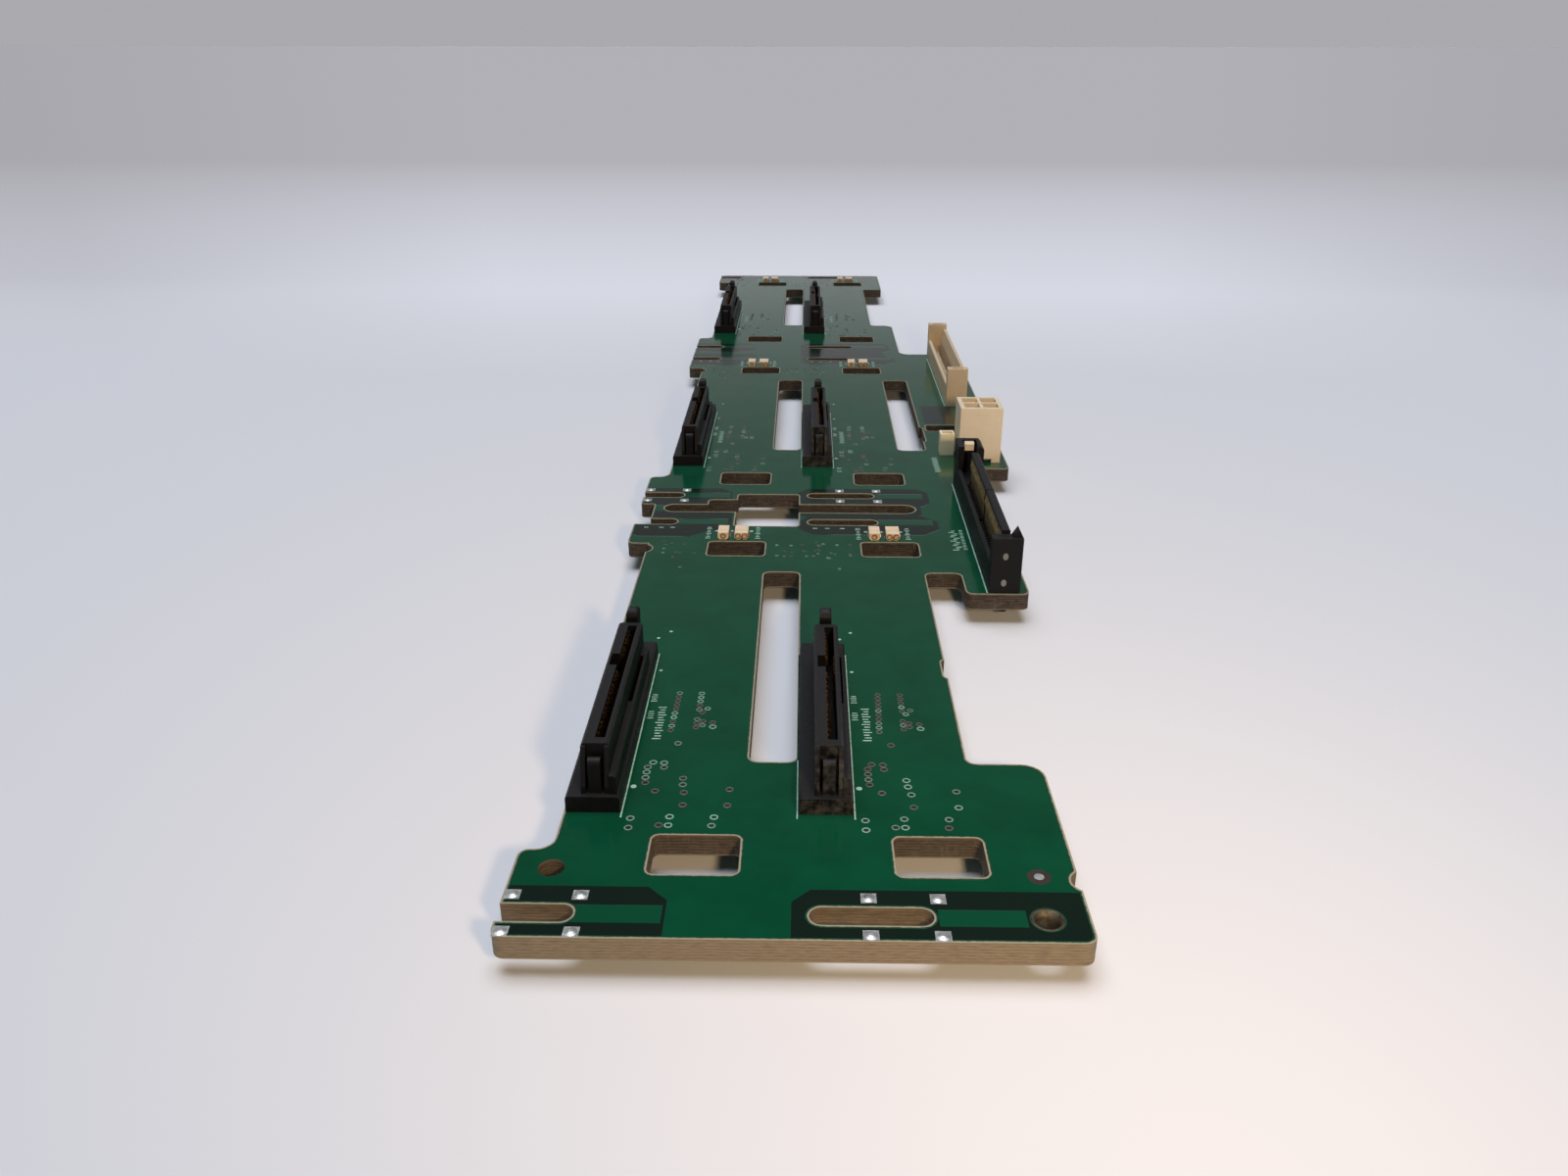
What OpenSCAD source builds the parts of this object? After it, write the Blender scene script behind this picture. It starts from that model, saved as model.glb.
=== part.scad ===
// Drive backplane board: three columns by two rows of drive bays on one long
// circuit board, with a side extension that carries the system connectors.
// X runs across the board, Y along it, Z up. The origin is the middle of the
// footprint, on the surface that the board lies on.

/* [Board] */
// Thickness of the circuit board
board_t = 3; // [2:0.1:4]
// Distance between drive columns, along the board
col_pitch = 136; // [134:0.5:146]
// Distance between the two drive rows, across the board
row_pitch = 29.5; // [28.5:0.25:32]
// How far the mounting tabs stand out from the left neck
tab_out = 4; // [3:0.25:6]
// Clear board between the power header and the ribbon header
ribbon_gap = 36.9; // [30:0.1:40]
// Width of the near end right of the second window
near_side_w = 10.3; // [7:0.1:16]
// Diameter of the mounting holes
mount_hole_d = 3.2; // [2.6:0.1:4]
// Corner radius of the outline
outline_r = 1.4; // [0.6:0.1:2]

/* [Openings] */
// Width of a light window
window_w = 10.9; // [8:0.1:11]
// Depth of a light window along the board
window_l = 7.1; // [5:0.1:8]
// Width of an air slot
air_w = 6.5; // [4.5:0.1:6.8]
// Length of an air slot
air_l = 63.9; // [50:0.1:70]
// Width of the thin locating slots
key_slot_w = 3; // [2:0.1:3.6]
// Length of the thin locating slots
key_slot_l = 14; // [10:0.1:16]

/* [Drive sockets] */
// Width of the socket base
socket_w = 6.9; // [6.4:0.1:7.6]
// Length of the socket base
socket_l = 43.1; // [43:0.1:46]
// Height of the socket base
socket_base_h = 2.3; // [1.8:0.1:3]
// Height of the socket tower above the board
tower_h = 8.6; // [8.2:0.1:10]
// Width of the mating slot
slot_w = 1.3; // [1.2:0.05:1.5]
// Height of the far guide post above the board
post_h = 9.9; // [9:0.1:11.5]
// Pitch of the main contacts
contact_pitch = 1.27; // [1.2:0.01:1.27]

/* [Card connector] */
// Width of the card connector
card_w = 5.35; // [5.2:0.05:6]
// Length of the card connector
card_l = 58; // [54:0.5:60]
// Height of the end blocks
card_block_h = 10.3; // [9:0.1:12]
// Height of the contact tongue
tongue_h = 10.9; // [9:0.1:13]
// Thickness of the contact tongue
tongue_t = 1.5; // [1.2:0.1:1.8]
// Pitch of the tongue contacts
card_pitch = 1.27; // [1.2:0.01:1.6]

/* [Power header] */
// Outer side of the square power header
power_w = 9.6; // [9.4:0.1:10.2]
// Height of the power header
power_h = 12.8; // [11:0.1:14]
// Distance between power pins
power_pitch = 4.2; // [4:0.05:4.4]
// Side of one power cell
power_cell_w = 3.5; // [3:0.1:3.6]

/* [Ribbon header] */
// Width of the ribbon header
ribbon_w = 5.3; // [5:0.1:6]
// Length of the ribbon header
ribbon_l = 56.5; // [50:0.5:57]
// Height of its end towers
ribbon_tower_h = 10; // [9:0.1:12]
// Pitch of its pins
ribbon_pitch = 2; // [1.9:0.01:2.2]

/* [Small parts] */
// Height of the indicator lamps
led_h = 1.4; // [1:0.1:2]
// Width of the single lamp
led_w = 2.1; // [1.6:0.1:2.3]
// Width of the twin lamp
twin_led_w = 2.6; // [2.4:0.1:2.9]
// Height of the bulk capacitors, which the board lies on
bulk_cap_h = 2.8; // [2.2:0.1:3.4]
// Side of the controller chip body
chip_w = 12; // [9:0.5:13]

/* [Hidden] */

COLUMNS = 3;
ROWS = 2;
board_green = "#1f6b4a";
plastic_black = "#232326";
plastic_cream = "#e0cfa8";
contact_gold = "#b98a45";
tin = "#b9bcc0";

// ---- places across the board, from the left edge of the tabs
neck_x = tab_out;
socket_x = neck_x + 0.25;
window_gap = 11.8;
window_x = neck_x + window_gap;
air_x = window_x + window_w + 0.2;
near_right_x = window_x + row_pitch + window_w + near_side_w;
air_right_x = air_x + row_pitch;
finger_x = air_right_x + air_w;
card_x = finger_x + 4;
card_side_x = card_x + card_w + 1.8;
ribbon_x = card_x + card_w - 0.6;
power_x = ribbon_x - 2.1;
board_w = ribbon_x + ribbon_w + 3.8;

// ---- places along one column, from the near end of that column
key_near_y = 4.1;
tab_y = 15.8;
window_near_y = 11.2;
socket_y = 23.5;
air_y = 35.6;
window_far_y = 107;
far_tab_y = 112.9;
lamp_y = window_far_y + window_l + 1.1;
key_far_y = 124.6;
gap_y = (key_far_y + col_pitch + key_near_y) / 2;
board_l = (COLUMNS - 1) * col_pitch + key_far_y + key_near_y;

// ---- places of the connectors on the side extension
side_y = air_y + air_l - 9;
card_y = side_y + 0.4;
wide_y = card_y + card_l + 9.7;
power_y = wide_y + 4.5;
ribbon_y = power_y + power_w + ribbon_gap;
wide_end_y = ribbon_y + ribbon_l + 1;
sensor_w = 3.3;
sensor_l = 3.2;
sensor_h = 5.1;
sensor_x = power_x - sensor_w - 0.4;
sensor_y = power_y + 5.2;

// ---- small shared values
standoff = bulk_cap_h;
top_z = standoff + board_t;
peg_d = 1.6;
peg_out = 0.8; // how far pegs and pins show under the board
pin_out = 0.5;
pin_gap = 0.1;
strip_t = 0.15;
edge_cut = 0.3;
eps = 0.01;

// ---- values of the board's plan
tab_fillet_r = 2.2;
bay_fillet_r = 3;
window_r = 1;
slot_r = 0.8;
extra_w = 0.5; // the far end is a little wider than the fingers
mount_left = [4.6, 12.2];
mount_right = [near_right_x - 4.9, 3.9];
key_left_end_x = 8.6;
key_right_x = 35;
gap_in_x = 3;
gap_h = 7.6;
centre_x = window_x + 4.4;
centre_w = 12.9;
centre_near = 10;
centre_l = 18.4;
centre_slot_x = 5.2;
centre_slot_w = 4.2;
centre_step_x = 14.2;
centre_step = 7;
centre_step_near = 2;
centre_arm_x = 57.2;
centre_arm_w = 4.8;
relief_r = 2.2;
relief_in = 1.1;
relief_near = 2.5;
notch_w = 1.7;
side_notch_y = 24;
side_notch_l = 6;
far_notch_y = 7;
far_notch_l = 12;
near_notch_r = 2;
near_notch_y = 10.8;
header_slot_gap = 14.6;
header_slot_near_x = 5;
header_slot = [power_x - header_slot_near_x, power_y + power_w + header_slot_gap];
header_slot_w = 9.6;
header_slot_l = 5;
power_hole_d = 1.8;
sensor_hole_d = 0.9;

// =====================================================================
// Helpers
// =====================================================================

function unit(v) = v / norm(v);

// The same angle, brought between half a turn back and half a turn on.
function wrap(angle) = angle - 360 * round(angle / 360);

// Points of one corner at b, rounded to radius r, on the way from a to c.
function corner_points(a, b, c, r, steps = 5) =
    r <= 0 ? [b] :
    let (u = unit(a - b), w = unit(c - b),
         half = acos(u * w) / 2,
         centre = b + unit(u + w) * r / sin(half),
         p0 = b + u * r / tan(half) - centre,
         p1 = b + w * r / tan(half) - centre,
         start = atan2(p0.y, p0.x),
         turn = wrap(atan2(p1.y, p1.x) - start))
    [for (i = [0:steps]) centre + r * [cos(start + turn * i / steps), sin(start + turn * i / steps)]];

// A closed outline from a list of [x, y, corner radius].
function rounded_outline(pts) =
    let (n = len(pts))
    [for (i = [0:n - 1])
        each corner_points(
            [pts[(i + n - 1) % n].x, pts[(i + n - 1) % n].y],
            [pts[i].x, pts[i].y],
            [pts[(i + 1) % n].x, pts[(i + 1) % n].y],
            pts[i].z)];

module rounded_rect(x0, y0, w, l, r) {
    translate([x0 + r, y0]) square([w - 2 * r, l]);
    translate([x0, y0 + r]) square([w, l - 2 * r]);
    for (x = [x0 + r, x0 + w - r], y = [y0 + r, y0 + l - r])
        translate([x, y]) circle(r, $fn = 32);
}

// A slot with round ends whose middle line lies along X at height y.
module round_slot(x0, x1, y, w) {
    rounded_rect(x0, y - w / 2, x1 - x0, w, w / 2 - eps);
}

// A profile drawn in X and Z, run along Y from y0 over length l.
module along_y(y0, l) {
    translate([0, y0 + l, 0]) rotate([90, 0, 0]) linear_extrude(l) children();
}

// A profile drawn in Y and Z, run along X from x0 over width w.
module along_x(x0, w) {
    translate([x0, 0, 0]) rotate([90, 0, 90]) linear_extrude(w) children();
}

module box(x0, y0, z0, x1, y1, z1) {
    translate([x0, y0, z0]) cube([x1 - x0, y1 - y0, z1 - z0]);
}

// Moves board coordinates to the part's frame, with Z zero on the top face.
module on_top() {
    translate([-board_w / 2, -board_l / 2, top_z]) children();
}

// The same with Z zero on the bottom face, for parts that hang below it.
module below() {
    translate([-board_w / 2, -board_l / 2, standoff]) children();
}

// Places children at the start of every drive bay.
module each_bay() {
    for (col = [0:COLUMNS - 1], row = [0:ROWS - 1])
        translate([row * row_pitch, col * col_pitch, 0]) children();
}

// =====================================================================
// Circuit board
// =====================================================================

function left_side(col) =
    let (y0 = col * col_pitch)
    [[0, y0 + far_tab_y, outline_r], [neck_x, y0 + far_tab_y, 0],
     [neck_x, y0 + tab_y, tab_fillet_r], [0, y0 + tab_y, outline_r]];

far_side_x = finger_x + extra_w;
last_air_y = (COLUMNS - 1) * col_pitch + air_y;
gap_edge_y = gap_y + gap_h / 2 - 1.6;

function board_outline() = rounded_outline(concat(
    [[0, 0, outline_r], [near_right_x, 0, outline_r],
     [near_right_x, air_y, bay_fillet_r], [air_right_x, air_y, outline_r],
     [air_right_x, air_y + air_l, outline_r], [finger_x, air_y + air_l, outline_r],
     [finger_x, side_y, outline_r], [card_side_x, side_y, outline_r],
     [card_side_x, wide_y, outline_r], [board_w, wide_y, outline_r],
     [board_w, wide_end_y, outline_r], [far_side_x, wide_end_y, bay_fillet_r],
     [far_side_x, last_air_y, bay_fillet_r], [air_right_x, last_air_y, outline_r],
     [air_right_x, last_air_y + air_l, outline_r], [far_side_x, last_air_y + air_l, outline_r],
     [far_side_x, board_l, outline_r], [0, board_l, outline_r]],
    left_side(2), left_side(1),
    [[0, gap_edge_y, slot_r], [gap_in_x, gap_edge_y, slot_r],
     [gap_in_x, key_far_y + key_slot_w / 2, 0], [0, key_far_y + key_slot_w / 2, 0]],
    left_side(0)));

near_window_more = 0.6;

// Openings that every bay has, relative to the bay's start.
module bay_openings() {
    rounded_rect(window_x, window_near_y, window_w, window_l + near_window_more, window_r);
    rounded_rect(window_x, window_far_y, window_w, window_l, window_r);
    for (y = socket_peg_ys)
        translate([socket_x + socket_w / 2, socket_y + y])
            circle(d = peg_d + pin_gap, $fn = 24);
}

// The relief notch and the thin slots of the left side of one column.
module left_openings(col) {
    y0 = col * col_pitch;
    translate([neck_x - relief_in, y0 + far_tab_y - relief_near]) circle(relief_r, $fn = 32);
    for (y = [key_near_y, key_far_y])
        round_slot(-key_slot_w, key_left_end_x, y0 + y, key_slot_w);
}

// The two thin slots right of the middle of one column.
module right_slots(col) {
    y0 = col * col_pitch;
    for (y = [key_near_y, key_far_y])
        round_slot(key_right_x, key_right_x + key_slot_l, y0 + y, key_slot_w);
}

// The large opening between the first two columns, with its side slots.
module centre_opening() {
    rounded_rect(centre_x, gap_y - centre_near, centre_w, centre_l, slot_r);
    rounded_rect(centre_step_x, gap_y - centre_step_near, centre_step, centre_step, slot_r);
    round_slot(centre_slot_x, centre_x + centre_slot_w, gap_y, centre_slot_w);
    round_slot(centre_x + centre_w - centre_arm_w, centre_arm_x, gap_y, centre_arm_w);
}

module board_holes() {
    for (place = [mount_left, mount_right]) translate(place) circle(d = mount_hole_d, $fn = 48);
    each_power_pin() circle(d = power_hole_d, $fn = 24);
    each_sensor_pin() circle(d = sensor_hole_d, $fn = 16);
    for (y = card_peg_ys) translate([card_x + card_w / 2, y]) circle(d = peg_d + pin_gap, $fn = 24);
    for (y = ribbon_peg_ys) translate([ribbon_x + ribbon_w / 2, y]) circle(d = peg_d + pin_gap, $fn = 24);
}

module board_plan() {
    difference() {
        polygon(board_outline());
        each_bay() bay_openings();
        for (col = [0:COLUMNS - 1]) {
            left_openings(col);
            right_slots(col);
            translate([air_x, col * col_pitch + air_y]) rounded_rect(0, 0, air_w, air_l, outline_r);
        }
        rounded_rect(air_right_x, col_pitch + air_y, air_w, air_l, outline_r);
        rounded_rect(finger_x - 1, col_pitch + air_y + far_notch_y, notch_w, far_notch_l, slot_r);
        rounded_rect(air_right_x - 0.6, air_y + side_notch_y, notch_w, side_notch_l, slot_r);
        translate([near_right_x + near_notch_r / 2, near_notch_y]) circle(near_notch_r, $fn = 32);
        centre_opening();
        translate(header_slot) rounded_rect(0, 0, header_slot_w, header_slot_l, slot_r);
        board_holes();
    }
}

module circuit_board() {
    color(board_green) below() linear_extrude(board_t) board_plan();
}

// =====================================================================
// Drive sockets
// =====================================================================

// Socket coordinates: X zero on the left side of the base, Y zero at its near end.
tower_x0 = 2;
tower_x1 = 5.6;
tower_y0 = 2.6;
tower_y1 = 37;
slot_x0 = 3.6;
slot_x1 = slot_x0 + slot_w;
slot_y0 = tower_y0 + 1.4;
slot_y1 = tower_y1 - 1;
slot_floor = 2;
feet_h = 0.3;
feet_l = 3.2;
feet_gap = 0.4;
socket_peg_in = 1.9;
socket_peg_ys = [socket_peg_in, socket_l - socket_peg_in];
ledge_w = 0.9;
ledge_h = 5;
ledge_cut = 0.3;
ledge_y0 = 0.6;
channel_w = 0.5;
channel_y0 = 19.5;
channel_y1 = 33.2;
cheek_t = 0.6;
cheek_y0 = 0.7;
cheek_low_h = 3.3;
cheek_slope_y = 2.2;
near_post_w = 1.6;
near_post_y0 = 0.8;
near_post_l = 1.4;
near_post_h = 7.2;
near_post_r = 0.7;
far_post_w = 1.8;
far_post_l = 2.7;
far_post_gap = 1.5;
key_w = 1.1;
power_count = 15;
signal_count = 7;
port_count = 7;
port_pitch = 0.8;
power_y0 = 4.9;
signal_y0 = 27.6;
port_y0 = 22.9;
key_y0 = 23.5;
key_l = 3.4;
contact_w = 0.5;
port_contact_w = 0.4;
main_foot_x = 1.6;
port_foot_x = slot_x1 + 1.3;
main_tip_z = tower_h - 0.6;
port_tip_z = tower_h - 0.7;
spring_rise = 0.9;
main_bulge = 0.35;
port_bulge = 0.25;

main_contact_ys = concat(
    [for (i = [0:power_count - 1]) power_y0 + i * contact_pitch],
    [for (i = [0:signal_count - 1]) signal_y0 + i * contact_pitch]);
port_contact_ys = [for (i = [0:port_count - 1]) port_y0 + i * port_pitch];

module socket_base() {
    difference() {
        along_y(0, socket_l)
            polygon([[0, 0], [socket_w, 0], [socket_w, socket_base_h - edge_cut],
                     [socket_w - edge_cut, socket_base_h], [edge_cut, socket_base_h],
                     [0, socket_base_h - edge_cut]]);
        box(main_foot_x - feet_gap, feet_l, -1, socket_w - feet_gap, socket_l - feet_l, feet_h);
    }
    for (y = socket_peg_ys)
        translate([socket_w / 2, y, -board_t - peg_out])
            cylinder(d = peg_d, h = board_t + peg_out + socket_base_h / 2, $fn = 24);
}

// The upright wall round the mating slot, with its stepped right side.
module socket_tower() {
    along_y(tower_y0, tower_y1 - tower_y0)
        polygon([[tower_x0, socket_base_h / 2], [tower_x1, socket_base_h / 2],
                 [tower_x1, tower_h - edge_cut], [tower_x1 - edge_cut, tower_h],
                 [tower_x0 + edge_cut, tower_h], [tower_x0, tower_h - edge_cut]]);
    // side ledge: solid beside the power contacts, channelled beside the signal ones
    difference() {
        along_y(ledge_y0, slot_y1 - ledge_y0)
            polygon([[tower_x1 - eps, socket_base_h / 2], [tower_x1 + ledge_w, socket_base_h / 2],
                     [tower_x1 + ledge_w, ledge_h - ledge_cut],
                     [tower_x1 + ledge_w - ledge_cut, ledge_h], [tower_x1 - eps, ledge_h]]);
        box(tower_x1, channel_y0, socket_base_h, tower_x1 + channel_w, channel_y1, tower_h);
    }
}

// The open near end: two sloping cheeks with a guide post between them.
module socket_near_end() {
    for (x = [tower_x0, tower_x1 - cheek_t])
        along_x(x, cheek_t)
            polygon([[cheek_y0, socket_base_h / 2], [tower_y0 + eps, socket_base_h / 2],
                     [tower_y0 + eps, tower_h - edge_cut], [cheek_slope_y, tower_h - edge_cut],
                     [cheek_y0, cheek_low_h]]);
    // the post's head is round in front, where a plug meets it first
    along_x((tower_x0 + tower_x1 - near_post_w) / 2, near_post_w) {
        translate([near_post_y0, socket_base_h / 2])
            square([near_post_l, near_post_h - near_post_r - socket_base_h / 2]);
        translate([near_post_y0 + near_post_l / 2, near_post_h - near_post_r])
            circle(near_post_r, $fn = 32);
    }
}

// The far guide post, with a rounded head.
module socket_far_post() {
    x0 = (tower_x0 + tower_x1 - far_post_w) / 2;
    y0 = tower_y1 + far_post_gap;
    intersection() {
        along_y(y0, far_post_l) {
            translate([x0, 0]) square([far_post_w, post_h - far_post_w / 2]);
            translate([x0 + far_post_w / 2, post_h - far_post_w / 2]) circle(far_post_w / 2, $fn = 32);
        }
        along_x(x0, far_post_w) {
            translate([y0, 0]) square([far_post_l, post_h - far_post_l / 2]);
            translate([y0 + far_post_l / 2, post_h - far_post_l / 2]) circle(far_post_l / 2, $fn = 32);
        }
        box(0, 0, socket_base_h / 2, socket_w, socket_l, post_h + 1);
    }
}

module socket_housing() {
    difference() {
        union() {
            socket_base();
            socket_tower();
            socket_near_end();
            socket_far_post();
        }
        box(slot_x0, slot_y0, slot_floor, slot_x1, slot_y1, tower_h + 1);
        box(slot_x0 - key_w, key_y0, slot_floor, slot_x0 + eps, key_y0 + key_l, tower_h + 1);
        for (y = main_contact_ys)
            box(slot_x0, y - contact_w / 2, -1, slot_x0 + strip_t, y + contact_w / 2, slot_floor + eps);
        for (y = port_contact_ys)
            box(slot_x1 - strip_t, y - port_contact_w / 2, -1,
                slot_x1, y + port_contact_w / 2, slot_floor + eps);
    }
}

// One spring strip up the slot's left wall, with a foot on the board.
module main_contact() {
    polygon([[slot_x0 + strip_t, 0], [slot_x0 + strip_t, main_tip_z - 2 * spring_rise],
             [slot_x0 + strip_t + main_bulge, main_tip_z - spring_rise],
             [slot_x0 + strip_t, main_tip_z], [slot_x0, main_tip_z],
             [slot_x0, strip_t], [main_foot_x, strip_t], [main_foot_x, 0]]);
}

// One strip up the slot's right wall, for the second port.
module port_contact() {
    polygon([[slot_x1 - strip_t, 0], [port_foot_x, 0], [port_foot_x, strip_t],
             [slot_x1, strip_t], [slot_x1, port_tip_z], [slot_x1 - strip_t, port_tip_z],
             [slot_x1 - strip_t - port_bulge, port_tip_z - spring_rise],
             [slot_x1 - strip_t, port_tip_z - 2 * spring_rise]]);
}

module socket_contacts() {
    for (y = main_contact_ys) along_y(y - contact_w / 2, contact_w) main_contact();
    for (y = port_contact_ys) along_y(y - port_contact_w / 2, port_contact_w) port_contact();
}

// Places children at the socket of bay n, counted from 1, left to right and near to far.
module at_socket(n) {
    on_top()
        translate([socket_x + ((n - 1) % ROWS) * row_pitch,
                   socket_y + floor((n - 1) / ROWS) * col_pitch, 0]) children();
}

module drive_socket(n) {
    color(plastic_black) at_socket(n) socket_housing();
}

module drive_contacts(n) {
    color(contact_gold) at_socket(n) socket_contacts();
}

// =====================================================================
// Card connector: a contact tongue between two end blocks
// =====================================================================

card_base_h = 3;
card_wall_t = 0.8;
card_wall_h = 5.2;
comb_t = 0.4;
comb_h = 4.8;
comb_gap = 0.3;
near_block_l = 2.5;
far_block_l = 6.3;
pocket_wall_t = 1.2;
tongue_x = card_x + 1.9;
tongue_y0 = card_y + near_block_l + 0.3;
tongue_y1 = card_y + card_l - far_block_l - 5.5;
tongue_cut = 0.2;
split_in = 20.5;
split_y = tongue_y0 + split_in;
split_l = 0.4;
card_contact_w = 0.45;
card_contact_end = 0.8;
card_tip_z = tongue_h - 0.7;
card_bend_z = tongue_h - 2.2;
card_bulge = 0.25;
card_bend_l = 1.6;
mould_mark_d = 0.9;
mould_mark_t = 0.12;
hook_w = 1.85;
hook_h = 1.6;
hook_in = 0.7;
card_key_w = 2;
card_key_h = 1.7;
card_key_l = 1.4;
card_peg_ys = [card_y + near_block_l / 2, card_y + card_l - near_block_l / 2];
card_contact_ys = [for (y = [tongue_y0 + card_contact_end:card_pitch:tongue_y1 - card_contact_end])
    if (abs(y - split_y - split_l / 2) > card_contact_w + split_l / 2) y];

// One strip in its groove on the left face of the tongue; its bend leans out.
module card_strip_profile() {
    polygon([[0, 0], [strip_t, 0], [strip_t, card_tip_z], [0, card_tip_z],
             [-card_bulge, card_bend_z], [0, card_bend_z - card_bend_l]]);
}

// The groove that a strip lies in, through the floor and up to the strip's tip.
module card_groove(x, y) {
    box(x, y - card_contact_w / 2, -1, x + strip_t, y + card_contact_w / 2, card_tip_z);
}

module card_contacts_left() {
    color(contact_gold) on_top()
        for (y = card_contact_ys)
            translate([tongue_x, 0, 0])
                along_y(y - card_contact_w / 2, card_contact_w) card_strip_profile();
}

module card_contacts_right() {
    color(contact_gold) on_top()
        for (y = card_contact_ys)
            translate([tongue_x + tongue_t, 0, 0])
                along_y(y - card_contact_w / 2, card_contact_w) mirror([1, 0]) card_strip_profile();
}

module card_trough() {
    x1 = card_x + card_w;
    box(card_x, card_y, 0, x1, card_y + card_l, card_base_h);
    for (x = [card_x, x1 - card_wall_t])
        box(x, card_y, 0, x + card_wall_t, card_y + card_l, card_wall_h);
    // combs between the strips
    for (y = card_contact_ys) {
        y0 = y - (card_pitch + comb_t) / 2;
        box(card_x, y0, 0, tongue_x - comb_gap, y0 + comb_t, comb_h);
        box(tongue_x + tongue_t + comb_gap, y0, 0, x1, y0 + comb_t, comb_h);
    }
    for (span = [[tongue_y0, split_y], [split_y + split_l, tongue_y1]])
        along_y(span[0], span[1] - span[0])
            polygon([[tongue_x, 0], [tongue_x + tongue_t, 0],
                     [tongue_x + tongue_t, tongue_h - tongue_cut],
                     [tongue_x + tongue_t - tongue_cut, tongue_h], [tongue_x + tongue_cut, tongue_h],
                     [tongue_x, tongue_h - tongue_cut]]);
}

module card_near_block() {
    x1 = card_x + card_w;
    difference() {
        box(card_x, card_y, 0, x1, card_y + near_block_l, card_block_h);
        // moulding marks on the end face
        for (z = [2, 7])
            translate([card_x + card_w / 2, card_y + mould_mark_t, z])
                rotate([90, 0, 0]) cylinder(d = mould_mark_d, h = 1, $fn = 24);
    }
    // lead-in hook at the outer corner
    along_y(card_y + hook_in, near_block_l - hook_in)
        polygon([[x1 - hook_w, card_block_h - eps], [x1, card_block_h - eps],
                 [x1 - hook_w * 0.45, card_block_h + hook_h]]);
}

module card_far_block() {
    x1 = card_x + card_w;
    y0 = card_y + card_l - far_block_l;
    difference() {
        box(card_x, y0, 0, x1, card_y + card_l, card_block_h);
        box(card_x + pocket_wall_t, y0 - 1, card_base_h,
            x1 - pocket_wall_t, card_y + card_l - pocket_wall_t, card_block_h + 1);
        // bevelled outer corner, along the whole block
        along_y(y0 - 1, far_block_l + 2)
            polygon([[x1 + eps, card_block_h - pocket_wall_t / 2], [x1 + eps, card_block_h + eps],
                     [x1 - pocket_wall_t / 2, card_block_h + eps]]);
    }
}

module card_connector_housing() {
    color(plastic_black) on_top() {
        difference() {
            union() {
                card_trough();
                card_near_block();
                card_far_block();
            }
            for (x = [tongue_x, tongue_x + tongue_t - strip_t], y = card_contact_ys)
                card_groove(x, y);
        }
        for (y = card_peg_ys)
            translate([card_x + card_w / 2, y, -board_t - peg_out])
                cylinder(d = peg_d, h = board_t + peg_out + card_base_h / 2, $fn = 24);
    }
}

// The pale coding key, held by the pocket's end wall near its rim.
module card_connector_key() {
    y1 = card_y + card_l - pocket_wall_t;
    z1 = card_block_h - edge_cut;
    color(plastic_cream) on_top()
        along_x(card_x + (card_w - card_key_w) / 2, card_key_w)
            polygon([[y1 - card_key_l, z1 - card_key_h], [y1, z1 - card_key_h], [y1, z1],
                     [y1 - card_key_l + edge_cut, z1], [y1 - card_key_l, z1 - edge_cut]]);
}

// =====================================================================
// Power header: four cells with square pins
// =====================================================================

power_pin_w = 1.07;
power_pin_h = 10.3;
power_floor = 2.4;
foot_h = 0.85;
foot_w = 2;
latch_l = 2.8;
latch_z = 5.6;
latch_h = 2.2;
latch_out = 1.2;

module each_power_pin() {
    for (i = [-1, 1], j = [-1, 1])
        translate([power_x + (power_w + i * power_pitch) / 2,
                   power_y + (power_w + j * power_pitch) / 2]) children();
}

module power_header_housing() {
    color(plastic_cream) on_top() difference() {
        union() {
            box(power_x, power_y, foot_h, power_x + power_w, power_y + power_w, power_h);
            for (x = [0, power_w - foot_w], y = [0, power_w - foot_w])
                translate([power_x + x, power_y + y, 0]) cube([foot_w, foot_w, foot_h + eps]);
            // latch lug on the far side
            y1 = power_y + power_w;
            along_x(power_x + (power_w - latch_l) / 2, latch_l)
                polygon([[y1 - eps, latch_z], [y1 + latch_out, latch_z + latch_h - 0.6],
                         [y1 + latch_out, latch_z + latch_h], [y1 - eps, latch_z + latch_h]]);
        }
        each_power_pin() {
            translate([-power_cell_w / 2, -power_cell_w / 2, power_floor])
                cube([power_cell_w, power_cell_w, power_h]);
            translate([-power_pin_w / 2, -power_pin_w / 2, 0])
                cube([power_pin_w, power_pin_w, power_h]);
        }
    }
}

module power_header_pins() {
    color(tin) on_top() each_power_pin() {
        translate([-power_pin_w / 2, -power_pin_w / 2, -board_t - pin_out])
            cube([power_pin_w, power_pin_w, board_t + pin_out + power_pin_h]);
    }
}

// =====================================================================
// Ribbon header: a long trough with an end tower at each end
// =====================================================================

ribbon_tower_l = 2.6;
ribbon_floor = 1.8;
ribbon_wall_t = 0.9;
ribbon_high_t = 1.5;
ribbon_low_h = 5.2;
ribbon_high_h = 8.6;
ribbon_cut = 0.2;
ribbon_pin_w = 0.5;
ribbon_pin_h = 4;
ribbon_pin_end = ribbon_tower_l + 1.4;
recess_w = 2.7;
recess_l = 1;
recess_t = 1.2;
ribbon_peg_ys = [ribbon_y + ribbon_tower_l / 2, ribbon_y + ribbon_l - ribbon_tower_l / 2];
ribbon_pin_ys = [for (y = [ribbon_pin_end:ribbon_pitch:ribbon_l - ribbon_pin_end]) ribbon_y + y];
ribbon_mid_x = ribbon_x + (ribbon_w + ribbon_wall_t - ribbon_high_t) / 2;
ribbon_pin_xs = [ribbon_mid_x - ribbon_wall_t, ribbon_mid_x + ribbon_wall_t];

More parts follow.
